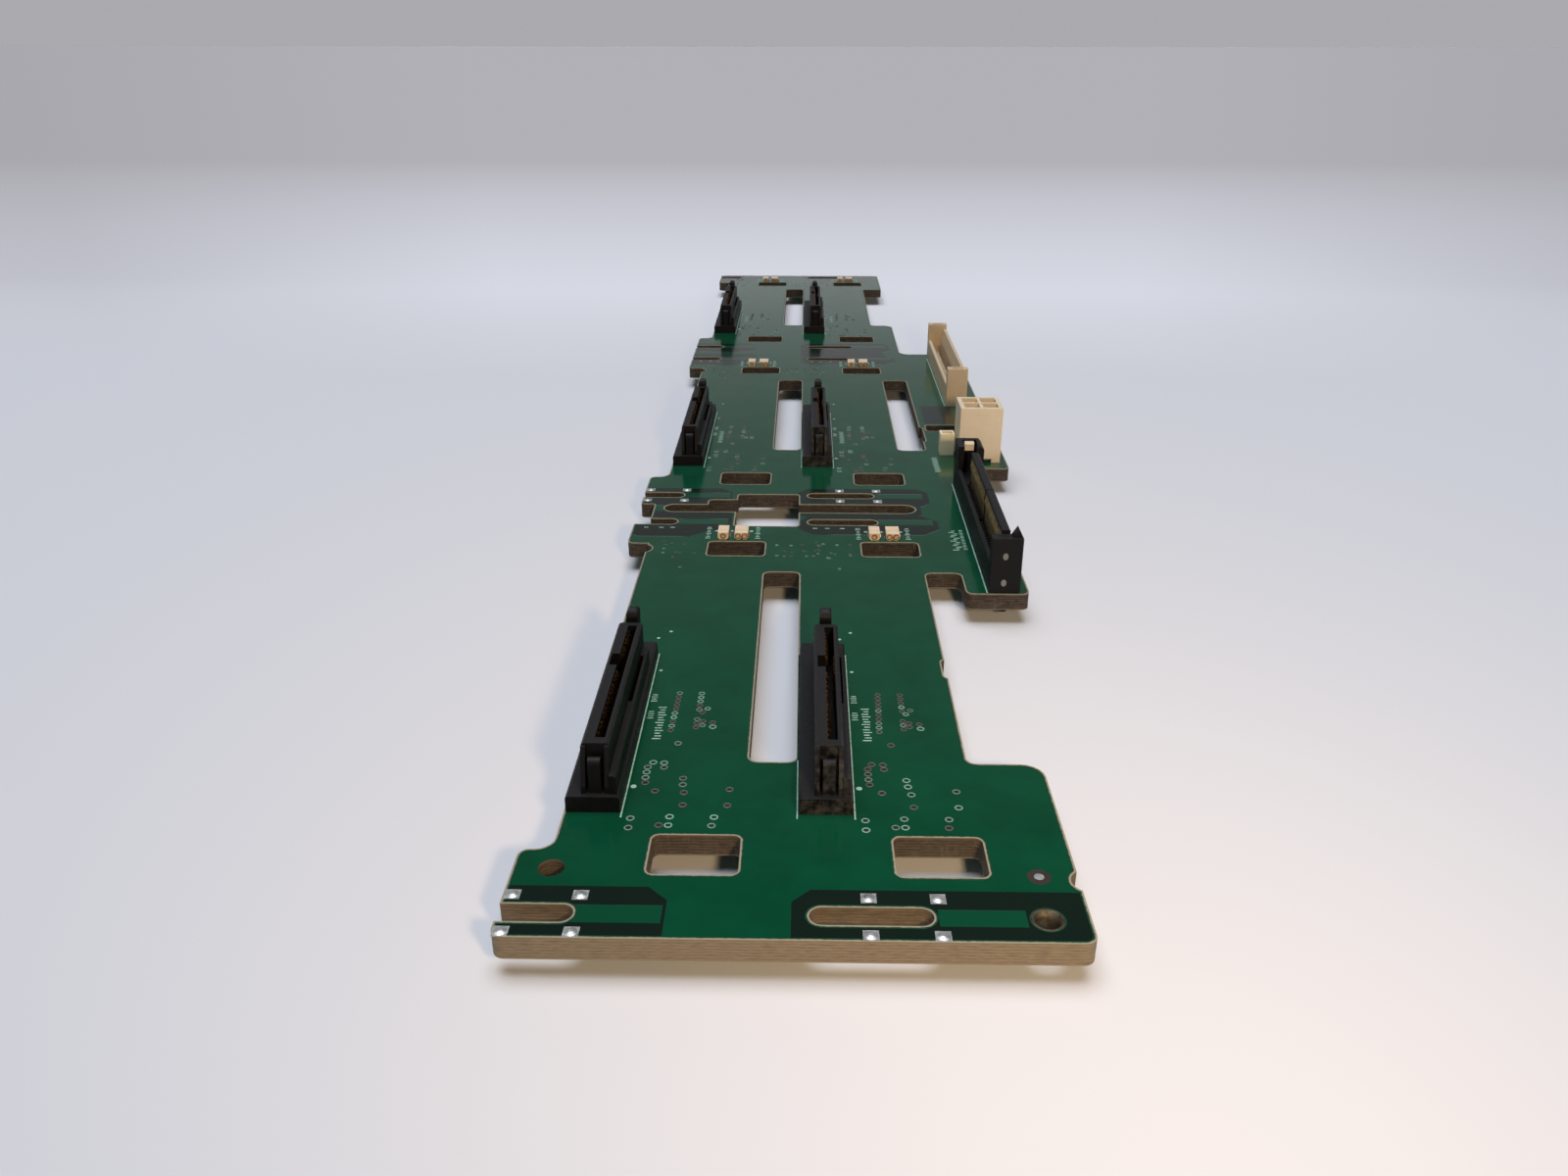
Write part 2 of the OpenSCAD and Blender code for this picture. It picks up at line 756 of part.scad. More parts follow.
module ribbon_tower(y0) {
    difference() {
        box(ribbon_x, y0, 0, ribbon_x + ribbon_w, y0 + ribbon_tower_l, ribbon_tower_h);
        translate([ribbon_x + (ribbon_w - recess_w) / 2, y0 + (ribbon_tower_l - recess_l) / 2,
                   ribbon_tower_h - recess_t])
            cube([recess_w, recess_l, ribbon_tower_h]);
    }
}

module ribbon_header_housing() {
    x1 = ribbon_x + ribbon_w;
    y1 = ribbon_y + ribbon_l;
    color(plastic_cream) on_top() {
        difference() {
            union() {
                box(ribbon_x, ribbon_y, 0, x1, y1, ribbon_floor);
                along_y(ribbon_y, ribbon_l)
                    polygon([[ribbon_x, 0], [ribbon_x + ribbon_wall_t, 0],
                             [ribbon_x + ribbon_wall_t, ribbon_low_h],
                             [ribbon_x + ribbon_cut, ribbon_low_h],
                             [ribbon_x, ribbon_low_h - ribbon_cut]]);
                along_y(ribbon_y, ribbon_l)
                    polygon([[x1 - ribbon_high_t, 0], [x1, 0], [x1, ribbon_high_h - ribbon_cut],
                             [x1 - ribbon_cut, ribbon_high_h], [x1 - ribbon_wall_t, ribbon_high_h],
                             [x1 - ribbon_high_t, ribbon_low_h]]);
                ribbon_tower(ribbon_y);
                ribbon_tower(y1 - ribbon_tower_l);
            }
            for (x = ribbon_pin_xs, y = ribbon_pin_ys)
                box(x - ribbon_pin_w / 2, y - ribbon_pin_w / 2, -1,
                    x + ribbon_pin_w / 2, y + ribbon_pin_w / 2, ribbon_floor + 1);
        }
        for (y = ribbon_peg_ys)
            translate([ribbon_x + ribbon_w / 2, y, -board_t - peg_out])
                cylinder(d = peg_d, h = board_t + peg_out + ribbon_floor / 2, $fn = 24);
    }
}

module ribbon_header_pins() {
    color(contact_gold) on_top()
        for (x = ribbon_pin_xs, y = ribbon_pin_ys)
            box(x - ribbon_pin_w / 2, y - ribbon_pin_w / 2, 0,
                x + ribbon_pin_w / 2, y + ribbon_pin_w / 2, ribbon_pin_h);
}

// =====================================================================
// Sensor header: a small two-pin header, open at the top
// =====================================================================

sensor_pin_w = 0.5;
sensor_pin_pitch = 1.25;
sensor_wall_t = 0.5;
sensor_floor = 1.4;

module each_sensor_pin() {
    for (i = [-1, 1])
        translate([sensor_x + (sensor_w + i * sensor_pin_pitch) / 2, sensor_y + sensor_l / 2])
            children();
}

module sensor_header_housing() {
    color(plastic_cream) on_top() difference() {
        translate([sensor_x, sensor_y, 0]) cube([sensor_w, sensor_l, sensor_h]);
        translate([sensor_x + sensor_wall_t, sensor_y + sensor_wall_t, sensor_floor])
            cube([sensor_w - 2 * sensor_wall_t, sensor_l - 2 * sensor_wall_t, sensor_h]);
        each_sensor_pin() translate([-sensor_pin_w / 2, -sensor_pin_w / 2, -1])
            cube([sensor_pin_w, sensor_pin_w, sensor_h]);
    }
}

module sensor_header_pins() {
    color(tin) on_top() each_sensor_pin()
        translate([-sensor_pin_w / 2, -sensor_pin_w / 2, -board_t - pin_out])
            cube([sensor_pin_w, sensor_pin_w, board_t + pin_out + sensor_h - sensor_wall_t]);
}

// =====================================================================
// Indicator lamps: a single and a twin one at the far window of each bay
// =====================================================================

led_l = 4;
lens_d = 1.1;
lens_depth = 0.9;
lens_in = 0.65;
led_cut = 0.35;
groove_y = 1.5;
groove_l = 0.2;
groove_t = 0.15;
notch_l = 0.5;
notch_h = led_h / 2;
single_x = window_x + 1.6;
twin_x = single_x + 3.3;

// A lamp body that is w wide, its lower corners cut for the solder.
module lamp_block(x, w) {
    translate([x, 0, 0]) along_y(lamp_y, led_l)
        polygon([[led_cut, 0], [w - led_cut, 0], [w, led_cut], [w, led_h], [0, led_h], [0, led_cut]]);
}

// A shallow mould line across the top of a lamp that is w wide.
module lamp_groove(x, w) {
    translate([x - 1, lamp_y + groove_y, led_h - groove_t]) cube([w + 2, groove_l, 1]);
}

// The gap between the twin lamp's two halves, open at the front.
module twin_notch() {
    translate([twin_x + (twin_led_w - notch_l) / 2, lamp_y - 1, -1])
        cube([notch_l, notch_l + 1, notch_h + 1]);
}

// A hole for a round lens in the near face, or the lens that fills it.
module lens_plug(x, depth) {
    translate([x, lamp_y + depth, led_h / 2]) rotate([90, 0, 0])
        cylinder(d = lens_d, h = depth, $fn = 24);
}

module status_lamp_bodies() {
    color(plastic_cream) on_top() each_bay() difference() {
        lamp_block(single_x, led_w);
        lens_plug(single_x + led_w / 2, lens_depth);
        lamp_groove(single_x, led_w);
    }
}

module status_lamp_lenses() {
    color("#f3ead6") on_top() each_bay() lens_plug(single_x + led_w / 2, lens_depth);
}

module activity_lamp_bodies() {
    color(plastic_cream) on_top() each_bay() difference() {
        lamp_block(twin_x, twin_led_w);
        for (x = [lens_in, twin_led_w - lens_in]) lens_plug(twin_x + x, lens_depth);
        twin_notch();
        lamp_groove(twin_x, twin_led_w);
    }
}

module activity_lamp_lenses() {
    color("#f3ead6") on_top() each_bay() difference() {
        union() for (x = [lens_in, twin_led_w - lens_in]) lens_plug(twin_x + x, lens_depth);
        twin_notch();
    }
}

// =====================================================================
// Parts under the board. Z zero is the bottom face, and they reach down.
// =====================================================================

bulk_l = 7.3;
bulk_w = 4.3;
bulk_term_t = 0.2;
bulk_term_l = 1.3;
bulk_term_w = 2.4;
bulk_draft = 0.15;
seat = 0.1; // air under a body that stands on its leads
bulk_x = 14;
bulk_y = 74;
bulk_step = 12;

module each_bulk() {
    below() each_bay() for (i = [0, 1]) translate([bulk_x, bulk_y + i * bulk_step, 0]) children();
}

// Moulded body, with room at each end for the folded terminal.
module bulk_capacitor_bodies() {
    color("#c9a227") each_bulk()
        along_y(0, bulk_w)
            polygon([[bulk_term_t, -seat], [bulk_l - bulk_term_t, -seat],
                     [bulk_l - bulk_term_t, -bulk_cap_h / 2],
                     [bulk_l - bulk_term_t - bulk_draft, -bulk_cap_h],
                     [bulk_term_t + bulk_draft, -bulk_cap_h], [bulk_term_t, -bulk_cap_h / 2]]);
}

module bulk_capacitor_terminals() {
    color(tin) each_bulk() for (side = [0, 1])
        translate([side * bulk_l, 0, 0]) mirror([side, 0, 0])
            along_y((bulk_w - bulk_term_w) / 2, bulk_term_w)
                polygon([[0, 0], [bulk_term_l, 0], [bulk_term_l, -seat], [bulk_term_t, -seat],
                         [bulk_term_t, -bulk_cap_h / 2], [0, -bulk_cap_h / 2]]);
}

chip_t = 1;
lead_pitch = 0.65;
lead_count = 16;
lead_reach = 1;
lead_t = 0.12;
lead_w = 0.3;
// right of the socket's pegs, clear of them by a small gap
chip_gap = 0.5;
chip_step = 32.5;
chip_x = socket_x + row_pitch + (socket_w + peg_d) / 2 + chip_gap + lead_reach + chip_w / 2;
chip_y = col_pitch + socket_y + chip_step;

// A chip body of w by l by t, centred over x = y = 0.
module chip_body(w, l, t) {
    translate([-w / 2, -l / 2, -t - seat]) cube([w, l, t]);
}

module controller_chip() {
    color(plastic_black) below() translate([chip_x, chip_y, 0]) chip_body(chip_w, chip_w, chip_t);
}

// One gull-wing lead, from the body side at x = 0 down to the pad.
module gull_lead(w, reach, body_h) {
    mid_z = -body_h / 2 - seat;
    along_y(-w / 2, w)
        polygon([[0, mid_z], [reach / 2, mid_z], [reach / 2, 0], [reach, 0], [reach, -lead_t],
                 [reach / 2 + lead_t, -lead_t], [reach / 2 + lead_t, mid_z - lead_t],
                 [0, mid_z - lead_t]]);
}

module controller_leads() {
    color(tin) below() translate([chip_x, chip_y, 0])
        for (side = [0:3], i = [0:lead_count - 1])
            rotate(side * 90)
                translate([chip_w / 2, (i - (lead_count - 1) / 2) * lead_pitch, 0])
                    gull_lead(lead_w, lead_reach, chip_t);
}

memory_w = 3.9;
memory_l = 4.9;
memory_t = 1.5;
memory_gap = 1.5;
memory_lead_w = 0.4;
memory_lead_pitch = 1.27;
memory_x = chip_x;
memory_y = chip_y + chip_w / 2 + lead_reach + memory_gap + memory_l / 2;

module memory_chip() {
    color(plastic_black) below()
        translate([memory_x, memory_y, 0]) chip_body(memory_w, memory_l, memory_t);
}

module memory_leads() {
    color(tin) below() translate([memory_x, memory_y, 0])
        for (side = [0, 1], i = [0:3])
            rotate(side * 180)
                translate([memory_w / 2, (i - 1.5) * memory_lead_pitch, 0])
                    gull_lead(memory_lead_w, lead_reach, memory_t);
}

regulator_w = 3.5;
regulator_l = 6.5;
regulator_t = 1.6;
regulator_gap = 2.5;
regulator_lead_w = 0.7;
regulator_tab_w = 3;
regulator_pitch = 2.3;
regulator_reach = 1.5;
regulator_x = chip_x;
regulator_y = chip_y - chip_w / 2 - lead_reach - regulator_gap - regulator_l / 2;

module regulator_body() {
    color(plastic_black) below()
        translate([regulator_x, regulator_y, 0]) chip_body(regulator_w, regulator_l, regulator_t);
}

module regulator_leads() {
    color(tin) below() translate([regulator_x, regulator_y, 0]) {
        for (i = [-1:1])
            translate([regulator_w / 2, i * regulator_pitch, 0])
                gull_lead(regulator_lead_w, regulator_reach, regulator_t);
        rotate(180) translate([regulator_w / 2, 0, 0])
            gull_lead(regulator_tab_w, regulator_reach, regulator_t);
    }
}

small_l = 1.6;
small_w = 0.8;
small_end = 0.3;
small_h = 0.8;
small_x = 12.6;
small_y = 30;
small_step_x = 3;
small_step_y = 2.6;
small_res_x = small_x + 7.8;
chip_cap_places = [for (i = [0:3], j = [0:1]) [small_x + j * small_step_x, small_y + i * small_step_y]];
chip_res_places = [for (i = [0:3]) [small_res_x, small_y + i * small_step_y]];

module small_body(h) {
    box(small_end, 0, -h, small_l - small_end, small_w, 0);
}

module small_ends(h) {
    box(0, 0, -h, small_end, small_w, 0);
    box(small_l - small_end, 0, -h, small_l, small_w, 0);
}

module each_small(places) {
    below() each_bay() for (p = places) translate([p.x, p.y, 0]) children();
}

module chip_capacitor_bodies() {
    color("#a9825c") each_small(chip_cap_places) small_body(small_h);
}

module chip_capacitor_ends() {
    color(tin) each_small(chip_cap_places) small_ends(small_h);
}

module chip_resistor_bodies() {
    color(plastic_black) each_small(chip_res_places) small_body(small_h / 2);
}

module chip_resistor_ends() {
    color(tin) each_small(chip_res_places) small_ends(small_h / 2);
}

// =====================================================================
// Assembly
// =====================================================================

circuit_board();
drive_socket(1);  // drive_socket_1
drive_socket(2);  // drive_socket_2
drive_socket(3);  // drive_socket_3
drive_socket(4);  // drive_socket_4
drive_socket(5);  // drive_socket_5
drive_socket(6);  // drive_socket_6
drive_contacts(1);  // drive_contacts_1
drive_contacts(2);  // drive_contacts_2
drive_contacts(3);  // drive_contacts_3
drive_contacts(4);  // drive_contacts_4
drive_contacts(5);  // drive_contacts_5
drive_contacts(6);  // drive_contacts_6
card_connector_housing();
card_contacts_left();
card_contacts_right();
card_connector_key();
power_header_housing();
power_header_pins();
ribbon_header_housing();
ribbon_header_pins();
sensor_header_housing();
sensor_header_pins();
status_lamp_bodies();
status_lamp_lenses();
activity_lamp_bodies();
activity_lamp_lenses();
bulk_capacitor_bodies();
bulk_capacitor_terminals();
controller_chip();
controller_leads();
memory_chip();
memory_leads();
regulator_body();
regulator_leads();
chip_capacitor_bodies();
chip_capacitor_ends();
chip_resistor_bodies();
chip_resistor_ends();
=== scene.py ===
"""Drive backplane board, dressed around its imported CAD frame.

The frame gives every moulded, plated and laminated solid at its real size. This
script gives those solids their finishes and adds what lies on the board's two faces:
bare laminate rims, plated vias, white ink, copper pads and solder.
"""

import logging
import math
from dataclasses import dataclass, field
from enum import Enum

import bmesh
import bpy
from mathutils import Matrix, Vector


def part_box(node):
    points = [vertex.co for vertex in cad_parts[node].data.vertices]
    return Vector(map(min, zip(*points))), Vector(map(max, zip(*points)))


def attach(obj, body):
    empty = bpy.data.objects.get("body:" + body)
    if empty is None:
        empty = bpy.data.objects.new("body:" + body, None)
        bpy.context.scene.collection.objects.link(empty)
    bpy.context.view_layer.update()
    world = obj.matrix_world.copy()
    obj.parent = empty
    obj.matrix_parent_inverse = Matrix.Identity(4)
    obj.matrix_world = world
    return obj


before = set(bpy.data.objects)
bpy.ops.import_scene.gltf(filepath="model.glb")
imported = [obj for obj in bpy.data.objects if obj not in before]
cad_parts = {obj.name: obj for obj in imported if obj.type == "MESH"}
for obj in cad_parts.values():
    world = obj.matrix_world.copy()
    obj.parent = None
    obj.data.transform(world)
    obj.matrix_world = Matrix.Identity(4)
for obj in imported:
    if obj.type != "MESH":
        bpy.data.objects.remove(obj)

LOG = logging.getLogger("backplane")
MM = 0.001
BODY = "root"
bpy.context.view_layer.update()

COLUMN_STEP = 136.0
ROW_STEP = 29.5
UPRIGHT = math.pi / 2
UPSIDE_DOWN = math.pi
ORIGIN = Vector((0, 0, 0))

Point = tuple[float, float]
Triple = tuple[float, float, float]
Socket = bpy.types.NodeSocket
Material = bpy.types.Material


# ---- Colours and node graphs ----

def srgb(code: str) -> Triple:
    """Turn a colour's six hex digits into linear light."""
    values = [int(code[i:i + 2], 16) / 255 for i in (0, 2, 4)]
    return tuple(v / 12.92 if v <= 0.04045 else ((v + 0.055) / 1.055) ** 2.4 for v in values)


class Nodes:
    """A small builder for any node tree."""

    MIX_A, MIX_B, MIX_RESULT = 6, 7, 2

    def __init__(self, tree: bpy.types.NodeTree) -> None:
        """Work on a tree."""
        self.tree = tree

    def feed(self, target: Socket, value: object) -> None:
        """Give a socket a link or a plain value.

        Args:
            target: The input to set.
            value: A socket, a number, or a sequence of numbers.
        """
        if isinstance(value, Socket):
            self.tree.links.new(value, target)
        elif isinstance(value, (tuple, Vector)) and target.type == "RGBA":
            target.default_value = (*value, 1.0)
        else:
            target.default_value = value

    def add(self, kind: str, values: dict[object, object] | None = None,
            **settings: object) -> bpy.types.NodeOutputs:
        """Add a node.

        Args:
            kind: Its type.
            values: Values for its inputs, by name or number.
            **settings: Its own settings, which are made first.

        Returns:
            The node's outputs.
        """
        node = self.tree.nodes.new(kind)
        for key, value in settings.items():
            setattr(node, key, value)
        for key, value in (values or {}).items():
            self.feed(node.inputs[key], value)
        return node.outputs

    def math(self, operation: str, a: object, b: object = 0.0) -> Socket:
        """One sum, such as ADD or SINE."""
        return self.add("ShaderNodeMath", {0: a, 1: b}, operation=operation)[0]

    def vector(self, operation: str, a: object, b: object) -> Socket:
        """One sum of vectors."""
        return self.add("ShaderNodeVectorMath", {0: a, 1: b}, operation=operation)[0]

    def parts(self, value: Socket) -> bpy.types.NodeOutputs:
        """The x, y and z of a vector."""
        return self.add("ShaderNodeSeparateXYZ", {0: value})

    def mix(self, factor: object, a: object, b: object) -> Socket:
        """A mix of two colours: the first at factor 0 and the second at 1."""
        values = {"Factor": factor, self.MIX_A: a, self.MIX_B: b}
        return self.add("ShaderNodeMix", values, data_type="RGBA")[self.MIX_RESULT]

    def between(self, value: object, low: float, high: float,
                to_low: float = 0.0, to_high: float = 1.0) -> Socket:
        """A value mapped from one range to another, held at both ends."""
        values = dict(enumerate((value, low, high, to_low, to_high)))
        return self.add("ShaderNodeMapRange", values)[0]


class Graph(Nodes):
    """A small builder for one material: a shader and what feeds it."""

    EDGE_SAMPLES = 4

    def __init__(self, name: str) -> None:
        """Start a material that holds only a shader and its output.

        Args:
            name: Name of the material.
        """
        self.material = bpy.data.materials.new(name)
        self.material.use_nodes = True
        super().__init__(self.material.node_tree)
        self.tree.nodes.clear()
        self.shader = self.tree.nodes.new("ShaderNodeBsdfPrincipled")
        self.add("ShaderNodeOutputMaterial", {"Surface": self.shader.outputs["BSDF"]})

    def noise(self, point: Socket, size: float, detail: float = 2.0,
              roughness: float = 0.5) -> Socket:
        """Smooth noise whose blobs are about a size across, on a point in millimetres."""
        values = {"Vector": point, "Scale": 1 / size, "Detail": detail, "Roughness": roughness}
        return self.add("ShaderNodeTexNoise", values)["Fac"]

    def patches(self, point: Socket, size: float, levels: Point, result: Point = (0.0, 1.0),
                detail: float = 3.0, roughness: float = 0.5) -> Socket:
        """Noise mapped from two of its levels to a result outside and inside them."""
        return self.between(self.noise(point, size, detail, roughness), *levels, *result)

    def place(self, origin: Vector = ORIGIN) -> Socket:
        """The surface point in millimetres from an origin that is given in metres."""
        point = self.vector("SUBTRACT", self.add("ShaderNodeTexCoord")["Object"], origin)
        return self.vector("MULTIPLY", point, (1 / MM,) * 3)

    def facing_up(self) -> Socket:
        """How far the surface faces up: 1 on top faces, 0 on side walls."""
        return self.parts(self.add("ShaderNodeNewGeometry")["Normal"])[2]

    def attribute(self, name: str) -> Socket:
        """The value of a mesh attribute."""
        return self.add("ShaderNodeAttribute", attribute_name=name)["Fac"]

    def either(self, choice: Socket, a: object, b: object) -> Socket:
        """The first value where the choice is 1 and the second where it is 0."""
        rest = self.math("MULTIPLY", self.math("SUBTRACT", 1.0, choice), b)
        return self.math("ADD", self.math("MULTIPLY", choice, a), rest)

    def bump(self, height: Socket, depth_mm: float, strength: float = 1.0,
             soft_edge_mm: float = 0.0) -> None:
        """Bump the surface by a height from 0 to 1.

        Args:
            height: The height map.
            depth_mm: Depth that a height of 1 stands for.
            strength: How much of the effect shows.
            soft_edge_mm: Radius by which sharp edges catch the light as if rounded.
        """
        values = {"Distance": depth_mm * MM, "Strength": strength, "Height": height}
        if soft_edge_mm:
            values["Normal"] = self.add("ShaderNodeBevel", {"Radius": soft_edge_mm * MM},
                                        samples=self.EDGE_SAMPLES)[0]
        self.surface(Normal=self.add("ShaderNodeBump", values)[0])

    def surface(self, **values: object) -> Material:
        """Set the shader's own sockets.

        Args:
            **values: A value for each socket, with _ for a space in its name.

        Returns:
            The material.
        """
        for key, value in values.items():
            self.feed(self.shader.inputs[key.replace("_", " ")], value)
        return self.material


# ---- Finishes ----

@dataclass(frozen=True)
class Moulded:
    """A moulded plastic: one colour, a fine grain and a little handling dust; faces that face up
    may be painted paler, a painted highlight.
    """

    name: str
    colour: str
    dust: str
    roughness: float = 0.5
    dust_mm: float = 2.4
    dust_amount: float = 0.35
    grain_mm: float = 0.12
    grain_depth_mm: float = 0.01
    streak_mm: float = 0.7
    soft_edge_mm: float = 0.08
    shine: float = 0.5
    glow: float = 0.0
    glow_mm: float = 0.6
    glow_reach: Triple = (1.0, 0.7, 0.4)
    # Colour of a painted highlight on faces that face up; empty for none.
    painted_top_light: str = ""
    soil: str = "5F5D58"
    soil_mm: float = 1.5
    soil_amount: float = 0.45
    soil_depth_mm: float = 0.0

    def material(self, near_end: Vector = ORIGIN) -> Material:
        """Build the finish.

        Args:
            near_end: Where the part's near end stands, in metres; soil gathers from there.

        Returns:
            The material.
        """
        graph = Graph(self.name)
        point = graph.place(near_end)
        dusty = graph.patches(point, self.dust_mm, (0.42, 0.75), (0, self.dust_amount), 3, 0.6)
        colour = graph.mix(dusty, srgb(self.colour), srgb(self.dust))
        if self.soil_depth_mm:
            y = graph.parts(point)[1]
            reach = graph.between(y, self.soil_depth_mm, 0.4 * self.soil_depth_mm)
            blots = graph.patches(point, self.soil_mm, (0.42, 0.66), (0, self.soil_amount), 4, 0.65)
            colour = graph.mix(graph.math("MULTIPLY", reach, blots), colour, srgb(self.soil))
        # Painted highlight: faces that face up are mixed towards a paler colour, as if lit from
        # above.
        if self.painted_top_light:
            level = graph.between(graph.facing_up(), 0.5, 0.9)
            colour = graph.mix(level, colour, srgb(self.painted_top_light))
        span = (self.roughness - 0.08, self.roughness + 0.1)
        rough = graph.patches(point, self.streak_mm, (0.3, 0.7), span, 4, 0.7)
        grain = graph.noise(point, self.grain_mm, 2, 0.6)
        graph.bump(grain, self.grain_depth_mm, 0.6, self.soft_edge_mm)
        if self.glow:
            graph.surface(Subsurface_Weight=self.glow, Subsurface_Radius=self.glow_reach,
                          Subsurface_Scale=self.glow_mm * MM)
        return graph.surface(Base_Color=colour, Roughness=rough, Specular_IOR_Level=self.shine)


@dataclass(frozen=True)
class Plated:
    """A plated metal with faint brushing and tarnish."""

    name: str
    colour: str
    tarnish: str
    roughness: float = 0.3
    stain_mm: float = 1.1
    brush_mm: float = 0.3
    grain_mm: float = 0.15
    grain_depth_mm: float = 0.01

    def material(self) -> Material:
        """Build the finish.

        Returns:
            The material.
        """
        graph = Graph(self.name)
        point = graph.place()
        stains = graph.patches(point, self.stain_mm, (0.4, 0.7), roughness=0.6)
        colour = graph.mix(stains, srgb(self.colour), srgb(self.tarnish))
        span = (self.roughness - 0.08, self.roughness + 0.12)
        rough = graph.patches(point, self.brush_mm, (0.3, 0.7), span)
        graph.bump(graph.noise(point, self.grain_mm), self.grain_depth_mm, 0.5)
        return graph.surface(Base_Color=colour, Roughness=rough, Metallic=1.0)


@dataclass(frozen=True)
class Ink:
    """White legend ink, thin enough to let some of the mask through."""

    name: str = "legend_ink"
    colour: str = "BCDFCF"
    thin: str = "6FA58D"
    worn_mm: float = 0.35

    def material(self) -> Material:
        """Build the finish.

        Returns:
            The material.
        """
        graph = Graph(self.name)
        point = graph.place()
        worn = graph.patches(point, self.worn_mm, (0.4, 0.7), roughness=0.7)
        colour = graph.mix(worn, srgb(self.colour), srgb(self.thin))
        graph.bump(graph.noise(point, 0.1), 0.01, 0.4)
        return graph.surface(Base_Color=colour, Roughness=0.55)


@dataclass(frozen=True)
class Lens:
    """Clear cast resin over a lamp's die."""

    name: str = "lamp_resin"
    colour: str = "E8CDA4"
    core: str = "C49460"
    cloud_mm: float = 0.5

    def material(self) -> Material:
        """Build the finish.

        Returns:
            The material.
        """
        graph = Graph(self.name)
        point = graph.place()
        cloud = graph.patches(point, self.cloud_mm, (0.35, 0.6), detail=2)
        colour = graph.mix(cloud, srgb(self.core), srgb(self.colour))
        graph.bump(graph.noise(point, 0.4, 1), 0.02, 0.4)
        return graph.surface(Base_Color=colour, Roughness=0.12, Coat_Weight=0.6,
                             Coat_Roughness=0.05)


@dataclass(frozen=True)
class Zone:
    """A field of the board's surface: a box with cut corners, in board millimetres."""

    x0: float
    x1: float
    y0: float
    y1: float
    chamfer: float = 0.0


